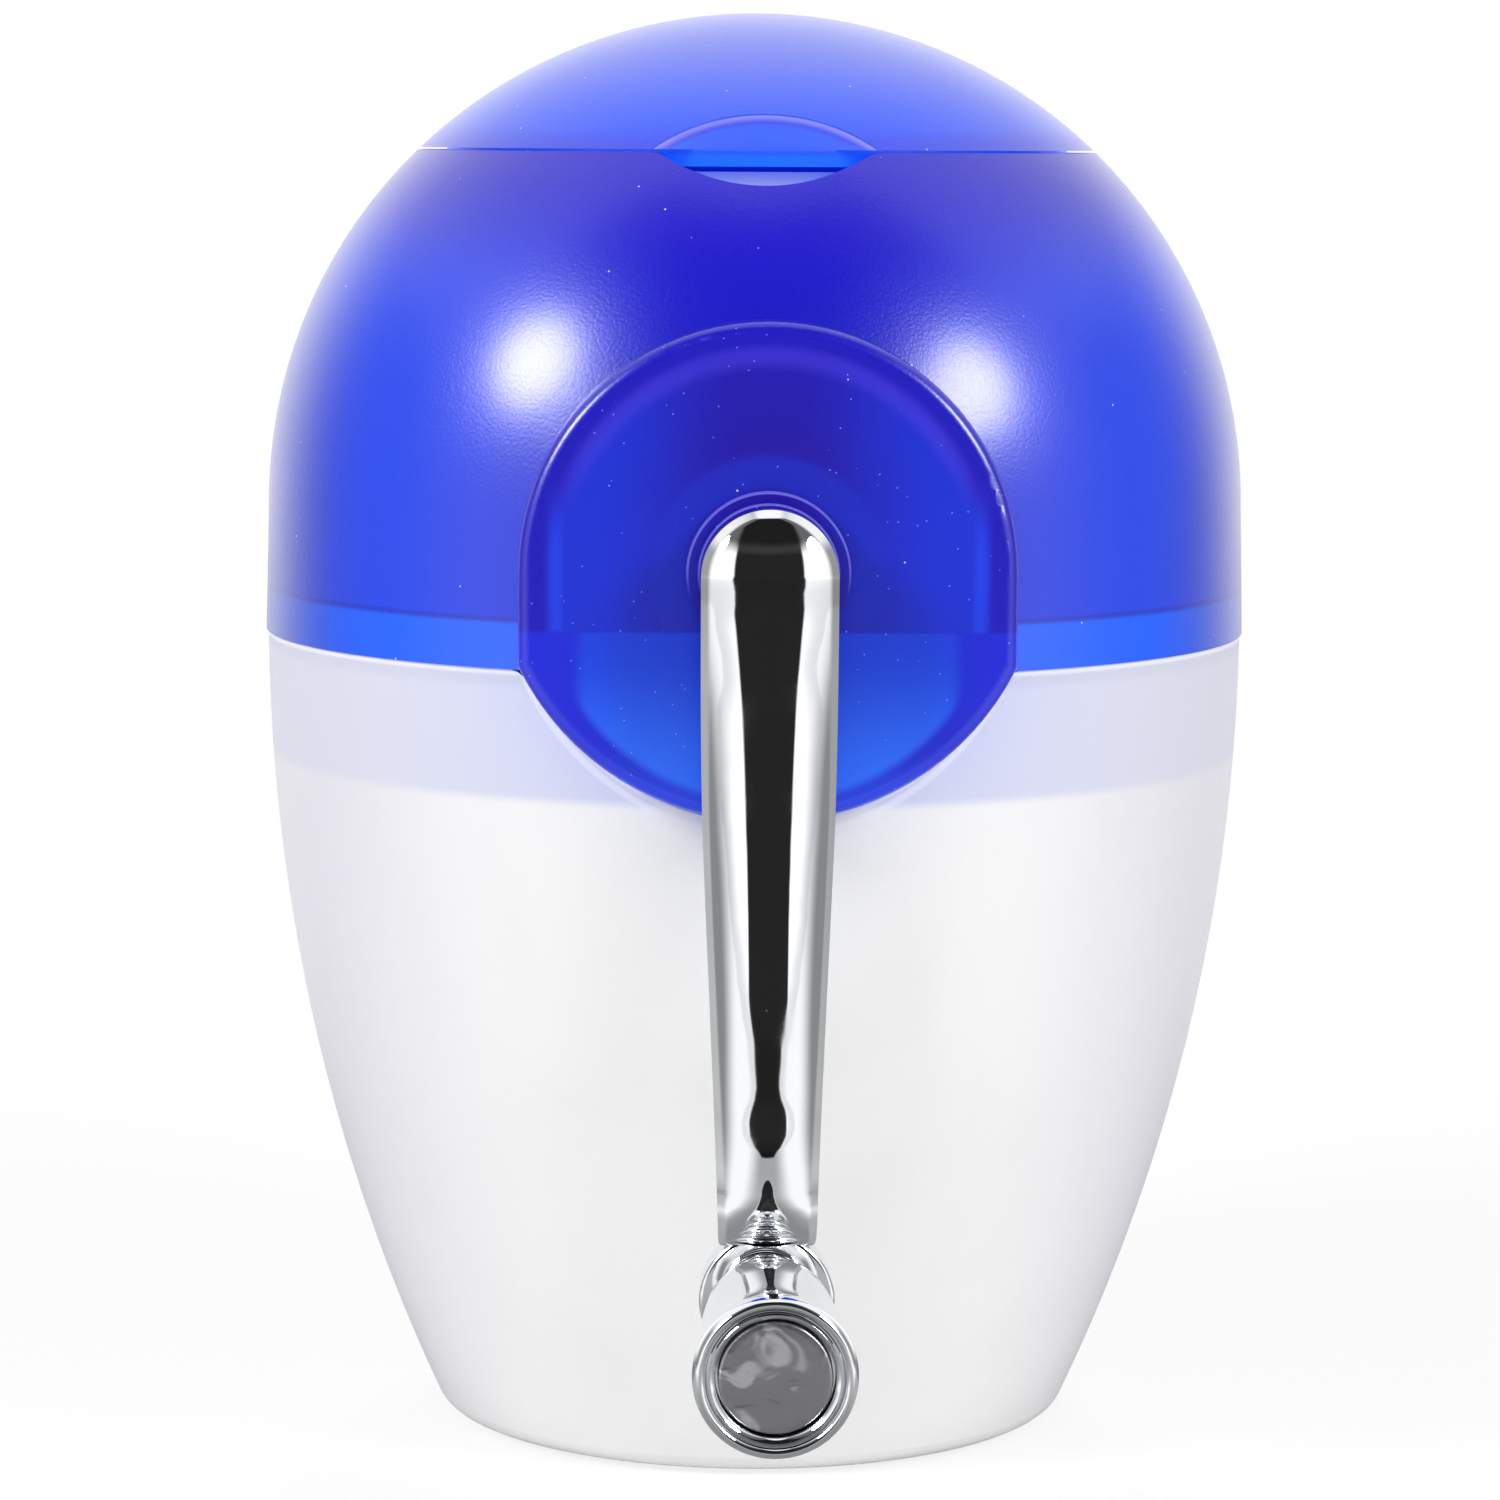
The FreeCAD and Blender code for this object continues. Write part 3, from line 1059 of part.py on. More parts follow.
def make_comb_screws():
    """Two screws through each side wall of the chamber into the combs."""
    wall = "(dim.chamber_half_width + dim.hopper_wall)"
    places = [(f"{sx} * {wall}", f"{sy} * dim.comb_screw_reach", f"{AXIS} + dim.comb_screw_rise")
              for sx in (-1, 1) for sy in (-1, 1)]
    return make_screws("comb_screws", places, 90,
                       "dim.hopper_wall + dim.comb_thickness + dim.screw_gap")


# ---------------------------------------------------------------- assembly

pieces = [
    make_container(),
    make_base_pad(),
    make_head_shell(),
    make_hopper(),
    make_comb("fixed_comb_left", 180),
    make_comb("fixed_comb_right", 0),
    make_comb_screws(),
    make_hopper_screws(),
    make_front_bearing(),
    make_rear_bush(),
    make_lid(),
    make_hinge_pin(),
    make_shaft(),
    make_ring("crank_washer", f"({COLLAR_FACE} + dim.end_play)", "dim.washer_thickness",
              "dim.journal_radius + dim.fit_gap", "dim.hub_radius"),
    make_ring("rear_washer", f"(-{CLIP})", "dim.washer_thickness",
              "dim.rear_journal_radius + dim.fit_gap", "dim.clip_radius"),
    make_ring("retaining_clip", f"(-{CLIP} - dim.clip_thickness)", "dim.clip_thickness",
              "dim.clip_groove_radius", "dim.clip_radius"),
    make_arm(),
    make_knob(),
    make_end_plug(),
    make_knob_screw(),
    make_ring("knob_washer", f"({KNOB_SEAT} + dim.end_play)", "dim.washer_thickness",
              "dim.pin_radius + dim.fit_gap", "dim.counterbore_radius - dim.end_play", KNOB_AXIS),
]
pieces += [make_blade(number) for number in range(BLADES)]
pieces += [make_spacer(number) for number in range(BLADES + 1)]

doc.recompute()

failed = [o.Name for o in doc.Objects if {"Invalid", "Error"} & set(o.State)]
if failed:
    raise RuntimeError(f"objects that did not compute: {failed}")
for piece in pieces:
    if piece.Shape.isNull() or not piece.Shape.isValid():
        raise RuntimeError(f"{piece.Label} has no valid shape")

os.makedirs("parts", exist_ok=True)
for piece in pieces:
    piece.Shape.exportStep(f"parts/{piece.Label}.step")
    print(f"{piece.Label}: {len(piece.Shape.Solids)} solid, {piece.Shape.Volume:.1f} mm3")
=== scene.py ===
"""Hand crank ice crusher: finishes, detailed pieces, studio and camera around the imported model."""

from __future__ import annotations

import json
import logging
import math
from collections.abc import Sequence
from dataclasses import dataclass, field
from enum import Enum
from functools import partial, reduce

import bmesh
import bpy
from mathutils import Euler, Matrix, Vector

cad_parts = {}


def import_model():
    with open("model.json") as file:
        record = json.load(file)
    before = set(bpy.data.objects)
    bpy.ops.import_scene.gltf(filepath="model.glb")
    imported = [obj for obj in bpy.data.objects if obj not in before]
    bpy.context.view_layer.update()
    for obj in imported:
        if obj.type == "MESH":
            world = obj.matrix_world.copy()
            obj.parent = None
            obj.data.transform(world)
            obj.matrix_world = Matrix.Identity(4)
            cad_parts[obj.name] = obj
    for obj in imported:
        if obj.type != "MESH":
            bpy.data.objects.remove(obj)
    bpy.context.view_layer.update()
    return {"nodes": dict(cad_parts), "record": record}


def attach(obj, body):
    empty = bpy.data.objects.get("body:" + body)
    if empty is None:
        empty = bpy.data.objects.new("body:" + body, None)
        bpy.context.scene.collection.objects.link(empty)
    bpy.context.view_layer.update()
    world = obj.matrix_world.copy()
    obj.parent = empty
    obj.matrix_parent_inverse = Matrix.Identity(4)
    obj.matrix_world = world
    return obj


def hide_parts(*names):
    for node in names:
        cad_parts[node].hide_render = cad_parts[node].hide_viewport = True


LOG = logging.getLogger("ice_crusher")
MM = 0.001
Colour = tuple[float, float, float]
Span = tuple[float, float]
Sweep = tuple[float, float, int]
Socket = bpy.types.NodeSocket

# Heights in the model, in mm.
SEAM = 130.0  # rim of the cup
CRANK = 146.0  # axis of the crank
KNOB = 40.0  # axis of the knob, with the arm straight down
DECK = 137.3  # deck of the hopper, as it shows through the head
DOME = 150.2  # centre of the dome's sphere
JOINT = 207.508  # joint between dome and lid


# ---------------------------------------------------------------- node helpers

def linear(colour: Colour) -> Colour:
    """Turn a display colour of 0 to 255 into the linear colour that shaders take.

    Args:
        colour: Red, green and blue as they show on a screen.

    Returns:
        The same colour in linear light.
    """
    shares = (part / 255.0 for part in colour)
    return tuple(s / 12.92 if s <= 0.04045 else ((s + 0.055) / 1.055) ** 2.4 for s in shares)


@dataclass(frozen=True)
class Where:
    """Point or direction that is shaded, as node outputs.

    Attributes:
        x: Its part to the right.
        y: Its part to the back.
        z: Its part upwards.
    """

    x: Socket
    y: Socket
    z: Socket


class NodeTree:
    """Short way to add and join the nodes of one material, world or group."""

    def __init__(self, tree: bpy.types.NodeTree) -> None:
        """Work on the given tree.

        Args:
            tree: Tree that new nodes go into.
        """
        self.tree = tree

    def add(self, kind: str, **inputs: object) -> bpy.types.Node:
        """Add a node.

        Args:
            kind: Node type without the words ShaderNode.
            **inputs: Properties of the node, and sockets by name with an underscore for a space.
                A socket's value is a plain value or another node's output.

        Returns:
            The new node.
        """
        node = self.tree.nodes.new(f"ShaderNode{kind}")
        for name, value in inputs.items():
            if hasattr(node, name):
                setattr(node, name, value)
            else:
                self.feed(node.inputs[name.replace("_", " ")], value)
        return node

    def feed(self, socket: Socket, value: object) -> None:
        """Set a socket, or link an output to it.

        Args:
            socket: Input socket.
            value: Plain value or an output socket.
        """
        if isinstance(value, Socket):
            self.tree.links.new(value, socket)
        else:
            socket.default_value = value

    def maths(self, operation: str, *values: object) -> Socket:
        """Add a Math node.

        Args:
            operation: Blender's name of the operation.
            *values: Its operands, plain or linked.

        Returns:
            The node's output.
        """
        node = self.add("Math", operation=operation)
        for socket, value in zip(node.inputs, values):
            self.feed(socket, value)
        return node.outputs[0]

    def product(self, *values: object) -> Socket:
        """Multiply two or more values, plain or linked."""
        return reduce(partial(self.maths, "MULTIPLY"), values)

    def highest(self, *values: object) -> Socket:
        """Take the highest of two or more values, plain or linked."""
        return reduce(partial(self.maths, "MAXIMUM"), values)

    def flip(self, share: Socket) -> Socket:
        """Take what a share leaves of one."""
        return self.maths("SUBTRACT", 1.0, share)

    def mix(self, share: object, first: object, second: object) -> Socket:
        """Mix two values.

        Args:
            share: Share of the second value.
            first: Plain value or output.
            second: Plain value or output.

        Returns:
            The mixed value.
        """
        node = self.add("Mix", data_type="FLOAT")
        for index, value in ((0, share), (2, first), (3, second)):
            self.feed(node.inputs[index], value)
        return node.outputs[0]

    def ramp(self, value: Socket, levels: Span, start: float = 0.0, end: float = 1.0) -> Socket:
        """Smooth step between two levels of a value.

        Args:
            value: Value that is measured.
            levels: Where the step starts and where it ends.
            start: Result below the step.
            end: Result above it.

        Returns:
            The stepped value.
        """
        node = self.add("MapRange", interpolation_type="SMOOTHSTEP", Value=value,
                        From_Min=levels[0], From_Max=levels[1], To_Min=start, To_Max=end)
        return node.outputs["Result"]

    def ramp_mm(self, value: Socket, levels: Span, start: float = 0.0, end: float = 1.0
                ) -> Socket:
        """Smooth step between two levels in mm, with the other arguments of ramp."""
        return self.ramp(value, (levels[0] * MM, levels[1] * MM), start, end)

    def fade_mm(self, value: Socket, levels: Span) -> Socket:
        """Smooth fall from one to nothing between two levels in mm."""
        return self.ramp_mm(value, levels, 1.0, 0.0)

    def band_mm(self, value: Socket, rising: Span, falling: Span) -> Socket:
        """Mask of a band that comes in and ends between levels in mm."""
        return self.product(self.ramp_mm(value, rising), self.fade_mm(value, falling))

    def ramp_degrees(self, value: Socket, levels: Span, start: float, end: float) -> Socket:
        """Smooth step between two angles in degrees, with the other arguments of ramp."""
        return self.ramp(value, (math.radians(levels[0]), math.radians(levels[1])), start, end)

    def blend(self, share: object, first: object, second: object) -> Socket:
        """Mix two colours.

        Args:
            share: Share of the second colour.
            first: Linear colour or output.
            second: Linear colour or output.

        Returns:
            The mixed colour.
        """
        node = self.add("Mix", data_type="RGBA")
        self.feed(node.inputs[0], share)
        for index, value in ((6, first), (7, second)):
            self.feed(node.inputs[index], (*value, 1.0) if isinstance(value, tuple) else value)
        return node.outputs[2]

    def tint(self, share: object, under: object, colour: Colour) -> Socket:
        """Lay a display colour over another colour by its share."""
        return self.blend(share, under, linear(colour))

    def place(self) -> Socket:
        """Object coordinates, in metres."""
        return self.add("TexCoord").outputs["Object"]

    def parts(self, vector: Socket) -> Where:
        """Split a vector."""
        return Where(*self.add("SeparateXYZ", Vector=vector).outputs)

    def length(self, *parts: Socket) -> Socket:
        """Length of a vector with the given two or three parts."""
        squares = [self.maths("MULTIPLY", part, part) for part in parts]
        return self.maths("SQRT", reduce(partial(self.maths, "ADD"), squares))

    def over(self, at: Where, level: float) -> Socket:
        """Height of a point over a level in mm."""
        return self.maths("SUBTRACT", at.z, level * MM)

    def crank_reach(self, at: Where) -> tuple[Socket, Socket]:
        """Place of a point round the crank's axis.

        Args:
            at: The point.

        Returns:
            Its height over the axis and its distance from it.
        """
        rise = self.over(at, CRANK)
        return rise, self.length(at.x, rise)

    def front_bearing(self, at: Where) -> Socket:
        """Angle from straight in front of the object, in radians and the same to both sides."""
        return self.maths("ABSOLUTE",
                          self.maths("ARCTAN2", at.x, self.maths("MULTIPLY", at.y, -1.0)))


# ---------------------------------------------------------------- shared effects

class GroupTree(NodeTree):
    """Nodes of a shared group whose first input is the size of its pattern, in mm."""

    def __init__(self, name: str, inputs: dict[str, float], outputs: Sequence[str]) -> None:
        """Start the group.

        Args:
            name: Name of the group.
            inputs: Its inputs and their usual values, the pattern's size first.
            outputs: Its outputs.
        """
        group = bpy.data.node_groups.new(name, "ShaderNodeTree")
        super().__init__(group)
        for label, value in inputs.items():
            socket = group.interface.new_socket(label, in_out="INPUT",
                                                socket_type="NodeSocketFloat")
            socket.default_value = value
        for label in outputs:
            group.interface.new_socket(label, in_out="OUTPUT", socket_type="NodeSocketFloat")
        self.given = group.nodes.new("NodeGroupInput").outputs
        self.results = group.nodes.new("NodeGroupOutput").inputs
        self.scale = self.maths("DIVIDE", 1.0 / MM, self.given[0])

    def finish(self, **results: Socket) -> bpy.types.NodeTree:
        """Feed the group's outputs.

        Args:
            **results: What each output gives.

        Returns:
            The group.
        """
        for name, value in results.items():
            self.feed(self.results[name], value)
        return self.tree


class Effects:
    """Effects that more than one finish uses, each a node group that is built once."""

    def __init__(self) -> None:
        """Build every group."""
        self.grain = self.build_grain()
        self.specks = self.build_specks()
        self.handling = self.build_handling()
        self.brushing = self.build_brushing()

    @staticmethod
    def build_grain(cell_depth: float = 0.35, levels: Span = (0.35, 0.65)) -> bpy.types.NodeTree:
        """Make the fine texture of a sparked mould.

        Args:
            cell_depth: Depth of its cells beside its fine noise.
            levels: Noise between which the mask comes in.

        Returns:
            The group.
        """
        tree = GroupTree("mould_grain", {"Size": 0.5}, ["Height", "Mask"])
        noise = tree.add("TexNoise", Vector=tree.place(), Scale=tree.scale, Detail=3.0,
                         Roughness=0.6).outputs["Fac"]
        cells = tree.add("TexVoronoi", Vector=tree.place(), Scale=tree.scale,
                         feature="SMOOTH_F1")
        height = tree.maths("MULTIPLY_ADD", cells.outputs["Distance"], cell_depth, noise)
        return tree.finish(Height=height, Mask=tree.ramp(noise, levels))

    @staticmethod
    def build_specks(rare: float = 0.45) -> bpy.types.NodeTree:
        """Make sparse specks of dust and tiny nicks.

        Args:
            rare: Share of the pattern's cells that hold none.

        Returns:
            The group.
        """
        tree = GroupTree("dust_specks", {"Spacing": 9.0, "Size": 0.02}, ["Mask"])
        cells = tree.add("TexVoronoi", Vector=tree.place(), Scale=tree.scale)
        near = tree.maths("LESS_THAN", cells.outputs["Distance"], tree.given["Size"])
        chance = tree.add("SeparateColor", Color=cells.outputs["Color"]).outputs[0]
        return tree.finish(Mask=tree.product(near, tree.maths("GREATER_THAN", chance, rare)))

    @staticmethod
    def build_handling(levels: Span = (0.42, 0.72)) -> bpy.types.NodeTree:
        """Make the broad smears that hands leave on a polished surface.

        Args:
            levels: Noise between which the smears come in.

        Returns:
            The group.
        """
        tree = GroupTree("handling", {"Size": 30.0}, ["Mask"])
        clouds = tree.add("TexNoise", Vector=tree.place(), Scale=tree.scale, Detail=4.0,
                          Distortion=0.8)
        return tree.finish(Mask=tree.ramp(clouds.outputs["Fac"], levels))

    @staticmethod
    def build_brushing(stretch: float = 0.02) -> bpy.types.NodeTree:
        """Make the fine parallel marks of a belt or a lathe, along X.

        Args:
            stretch: Size across the marks over their length.

        Returns:
            The group.
        """
        tree = GroupTree("brushing", {"Pitch": 0.25}, ["Height"])
        drawn = tree.add("Mapping", Vector=tree.place(), Scale=(stretch, 1.0, 1.0))
        marks = tree.add("TexNoise", Vector=drawn.outputs[0], Scale=tree.scale, Detail=2.0)
        return tree.finish(Height=marks.outputs["Fac"])


class MaterialTree(NodeTree):
    """Nodes of one material with a Principled shader, and the effects that it may place."""

    def __init__(self, name: str, effects: Effects) -> None:
        """Start the material.

        Args:
            name: Its name.
            effects: Shared node groups.
        """
        self.material = bpy.data.materials.new(name)
        self.material.use_nodes = True
        super().__init__(self.material.node_tree)
        self.shader = self.tree.nodes["Principled BSDF"]
        self.effects = effects

    def shade(self, **values: object) -> None:
        """Set or feed sockets of the shader.

        Args:
            **values: Plain value or output by socket, with an underscore for a space.
        """
        for name, value in values.items():
            self.feed(self.shader.inputs[name.replace("_", " ")], value)

    def effect(self, group: bpy.types.NodeTree, **values: float) -> bpy.types.bpy_prop_collection:
        """Place a shared group.

        Args:
            group: The group.
            **values: Its inputs.

        Returns:
            The outputs of its node.
        """
        node = self.add("Group", node_tree=group)
        for name, value in values.items():
            node.inputs[name].default_value = value
        return node.outputs

    def bump(self, height: Socket, depth: float) -> None:
        """Let a height disturb the shader's normal.

        Args:
            height: Height over the surface.
            depth: Depth of the relief, in mm.
        """
        self.shade(Normal=self.add("Bump", Distance=depth * MM, Height=height).outputs[0])


# ---------------------------------------------------------------- finishes

@dataclass(frozen=True)
class Finish:
    """A material with one Principled shader.

    Attributes:
        name: Name of the material.
        colour: Colour as it shows on a screen, 0 to 255.
        roughness: Mean roughness.
    """

    name: str
    colour: Colour
    roughness: float

    def build(self, effects: Effects) -> bpy.types.Material:
        """Make the material.

        Args:
            effects: Shared node groups.

        Returns:
            The material.
        """
        tree = MaterialTree(self.name, effects)
        tree.shade(Base_Color=(*linear(self.colour), 1.0), Roughness=self.roughness)
        self.dress(tree)
        tree.material.cycles.emission_sampling = "NONE"
        return tree.material

    def dress(self, tree: MaterialTree) -> None:
        """Add what makes this finish more than a flat colour.

        Args:
            tree: Nodes of the material.
        """
        raise NotImplementedError

    def mottled(self, tree: MaterialTree, mask: Socket, change: float) -> Socket:
        """Let the brightness of the own colour follow a mask.

        Args:
            tree: Nodes of the material.
            mask: Mask that it follows.
            change: Brightness where the mask is full, over that where it is empty.

        Returns:
            The colour.
        """
        own = linear(self.colour)
        return tree.blend(mask, own, tuple(part * change for part in own))

    def uneven(self, tree: MaterialTree, mask: Socket, less: float, more: float,
               levels: Span = (0.0, 1.0)) -> Socket:
        """Let the roughness follow a mask.

        Args:
            tree: Nodes of the material.
            mask: Mask that it follows.
            less: How far it falls below the mean where the mask is empty.
            more: How far it rises over the mean where the mask is full.
            levels: Where the mask counts as empty and as full.

        Returns:
            The roughness.
        """
        return tree.ramp(mask, levels, self.roughness - less, self.roughness + more)


@dataclass(frozen=True)
class ScoopVeil:
    """What the lid shows besides its own wall: the scoop for the thumb, with painted light, and its
    foot.

    Attributes:
        over_joint: Heights over the joint where the lid's own marks come in, in mm.
        sunk: Distances from the dome's centre over which the surface is no scoop.
        deep: Distances from the dome's centre from the scoop's bottom to its edge.
        ahead: Places before the body axis, as y, behind which there is no scoop.
        bottom_colour: Colour of the painted sheen at the scoop's bottom.
        edge_shading_colour: Colour of the painted highlight on its rounded upper edge, which catches
            the light.
        foot: Heights over the joint where the lid's dark foot fades.
        foot_colour: Colour of the foot.
        foot_share: How much of it shows.
    """

    over_joint: Span = (0.1, 0.4)
    sunk: Span = (79.15, 79.4)
    deep: Span = (78.2, 79.3)
    ahead: Span = (-48.0, -46.0)
    bottom_colour: Colour = (62, 78, 214)
    edge_shading_colour: Colour = (134, 138, 236)
    foot: Span = (0.8, 4.5)
    foot_colour: Colour = (44, 34, 186)
    foot_share: float = 0.55

    def show(self, tree: MaterialTree, at: Where, colour: Socket) -> Socket:
        """Lay the marks over the shell's colour.

        Args:
            tree: Nodes of the material.
            at: Point that is shaded.
            colour: Colour of the shell so far.

        Returns:
            The colour with the marks.
        """
        reach = tree.length(at.x, at.y, tree.over(at, DOME))
        height = tree.over(at, JOINT)
        above = tree.ramp_mm(height, self.over_joint)
        foot = tree.product(above, tree.ramp_mm(height, self.foot, self.foot_share, 0.0))
        scoop = tree.product(tree.fade_mm(reach, self.sunk), above,
                             tree.fade_mm(at.y, self.ahead))
        # Painted light: a sheen in the scoop, paler up to a painted highlight on its upper edge.
        painted_sheen = tree.tint(tree.ramp_mm(reach, self.deep), linear(self.bottom_colour),
                         self.edge_shading_colour)
        return tree.blend(scoop, tree.tint(foot, colour, self.foot_colour), painted_sheen)


@dataclass(frozen=True)
class Streak:
    """Soft ring or stripe painted on the boss, for a shape behind it and for painted light.

    Attributes:
        rising: Distances between which it comes in, in mm.
        falling: Distances between which it ends, in mm.
        colour: Its colour.
        share: How much of it shows.
    """

    rising: Span
    falling: Span
    colour: Colour
    share: float


@dataclass(frozen=True)
class BossMarks:
    """What shows through the face of the crank boss: walls, deck, chamber and bearing, with painted
    light on the walls and the collar, and dust.

    All spans are in mm: radii round the crank's axis, distances from the middle or heights.

    Attributes:
        face: Places before the body axis, as y, behind which it is no longer the face.
        deck: Heights over the deck between which its edge shows.
        above_wall: Radii where the boss's wall begins, above the deck.
        below_wall: Radii where it begins under the deck.
        chute: Distances from the middle where the chute's wall begins under the deck.
        plain: Radii and colours of the plain face, from the middle out.
        chamber: Distances from the middle and the colour of the chamber's sides behind it.
        chute_light: Heights and colours of the lit chute, from below upwards.
        wall_light: Heights and colours of the painted light on the wall under the deck, from below
            upwards.
        wall_colour: Colour of the wall above the deck.
        bearing: Bearing behind the hub.
        glint: Light that the round top of the wall catches.
        crown: Heights over the axis where that light comes in.
        flank: Light along the wall's sides.
        flank_end: Heights over the axis where the sides' light ends.
        steps: Lit edges of the hub's collar.
        step_light: Heights over the axis where their light comes in.
        dust_colour: Colour of the dust on the face.
        dust_share: How much of it shows.
    """

    face: Span = (-83.5, -82.0)
    deck: Span = (-0.4, 0.4)
    above_wall: Span = (31.0, 33.5)
    below_wall: Span = (33.2, 35.0)
    chute: Span = (26.5, 29.5)
    plain: tuple[Span, Colour, Colour] = ((14.0, 31.0), (22, 2, 148), (20, 4, 158))
    chamber: tuple[Span, Colour] = ((4.0, 26.0), (6, 36, 190))
    chute_light: tuple[Span, Colour, Colour] = ((110.0, 136.0), (28, 108, 252), (2, 54, 206))
    wall_light: tuple[Span, Colour, Colour] = ((110.0, 122.0), (14, 62, 230), (8, 26, 196))
    wall_colour: Colour = (14, 4, 168)
    bearing: Streak = Streak((11.5, 13.0), (16.2, 18.5), (8, 36, 184), 0.6)
    glint: Streak = Streak((29.4, 31.8), (32.4, 34.2), (64, 50, 205), 0.4)
    crown: Span = (6.0, 20.0)
    flank: Streak = Streak((29.8, 31.2), (31.6, 33.4), (20, 66, 232), 0.45)
    flank_end: Span = (2.0, 15.0)
    steps: tuple[Streak, ...] = (
        Streak((11.75, 11.95), (12.1, 12.25), (130, 128, 235), 0.6),
        Streak((10.1, 10.25), (10.4, 10.55), (130, 128, 235), 0.6),
    )
    step_light: Span = (-4.0, 2.0)
    dust_colour: Colour = (150, 160, 250)
    dust_share: float = 0.6

    def show(self, tree: MaterialTree, at: Where, colour: Socket) -> Socket:
        """Lay the marks over the shell's colour.

        Args:
            tree: Nodes of the material.
            at: Point that is shaded.
            colour: Colour of the shell so far.

        Returns:
            The colour with the marks.
        """
        rise, reach = tree.crank_reach(at)
        aside = tree.maths("ABSOLUTE", at.x)
        upper = tree.ramp_mm(tree.over(at, DECK), self.deck)
        marks = self.show_walls(tree, at, reach, aside, upper)
        step_light = tree.ramp_mm(rise, self.step_light)
        # Painted light: a glint on the wall's round top, light along its sides and highlights on the
        # collar's edges.
        streaks = (
            (self.bearing, reach, (upper,)),
            (self.glint, reach, (tree.ramp_mm(rise, self.crown),)),
            (self.flank, aside, (tree.fade_mm(rise, self.flank_end), upper)),
            *((step, reach, (step_light,)) for step in self.steps),
        )
        for streak, distance, limits in streaks:
            band = tree.band_mm(distance, streak.rising, streak.falling)
            marks = tree.tint(tree.product(band, *limits, streak.share), marks, streak.colour)
        dust = tree.effect(tree.effects.specks, Spacing=1.5, Size=0.075)["Mask"]
        marks = tree.tint(tree.product(dust, self.dust_share), marks, self.dust_colour)
        return tree.blend(tree.fade_mm(at.y, self.face), colour, marks)

    def show_walls(self, tree: MaterialTree, at: Where, reach: Socket, aside: Socket,
                   upper: Socket) -> Socket:
        """Colour the face by what stands behind it.

        Args:
            tree: Nodes of the material.
            at: Point that is shaded.
            reach: Its distance from the crank's axis.
            aside: Its distance from the middle.
            upper: Mask of what is above the deck.

        Returns:
            The colour.
        """
        # Painted light: the chute and the wall under the deck are brighter towards the bottom.
        tones = [tree.tint(tree.ramp_mm(value, levels), linear(first), second)
                 for value, (levels, first, second) in (
                     (reach, self.plain), (at.z, self.chute_light), (at.z, self.wall_light))]
        plain, chute, wall = tones
        plain = tree.tint(tree.ramp_mm(aside, self.chamber[0]), plain, self.chamber[1])
        disc = tree.blend(upper, chute, plain)
        wall = tree.tint(upper, wall, self.wall_colour)
        pocket = tree.product(tree.fade_mm(aside, self.chute),
                              tree.fade_mm(reach, self.below_wall), tree.flip(upper))
        above = tree.product(tree.fade_mm(reach, self.above_wall), upper)
        return tree.blend(tree.highest(pocket, above), wall, disc)


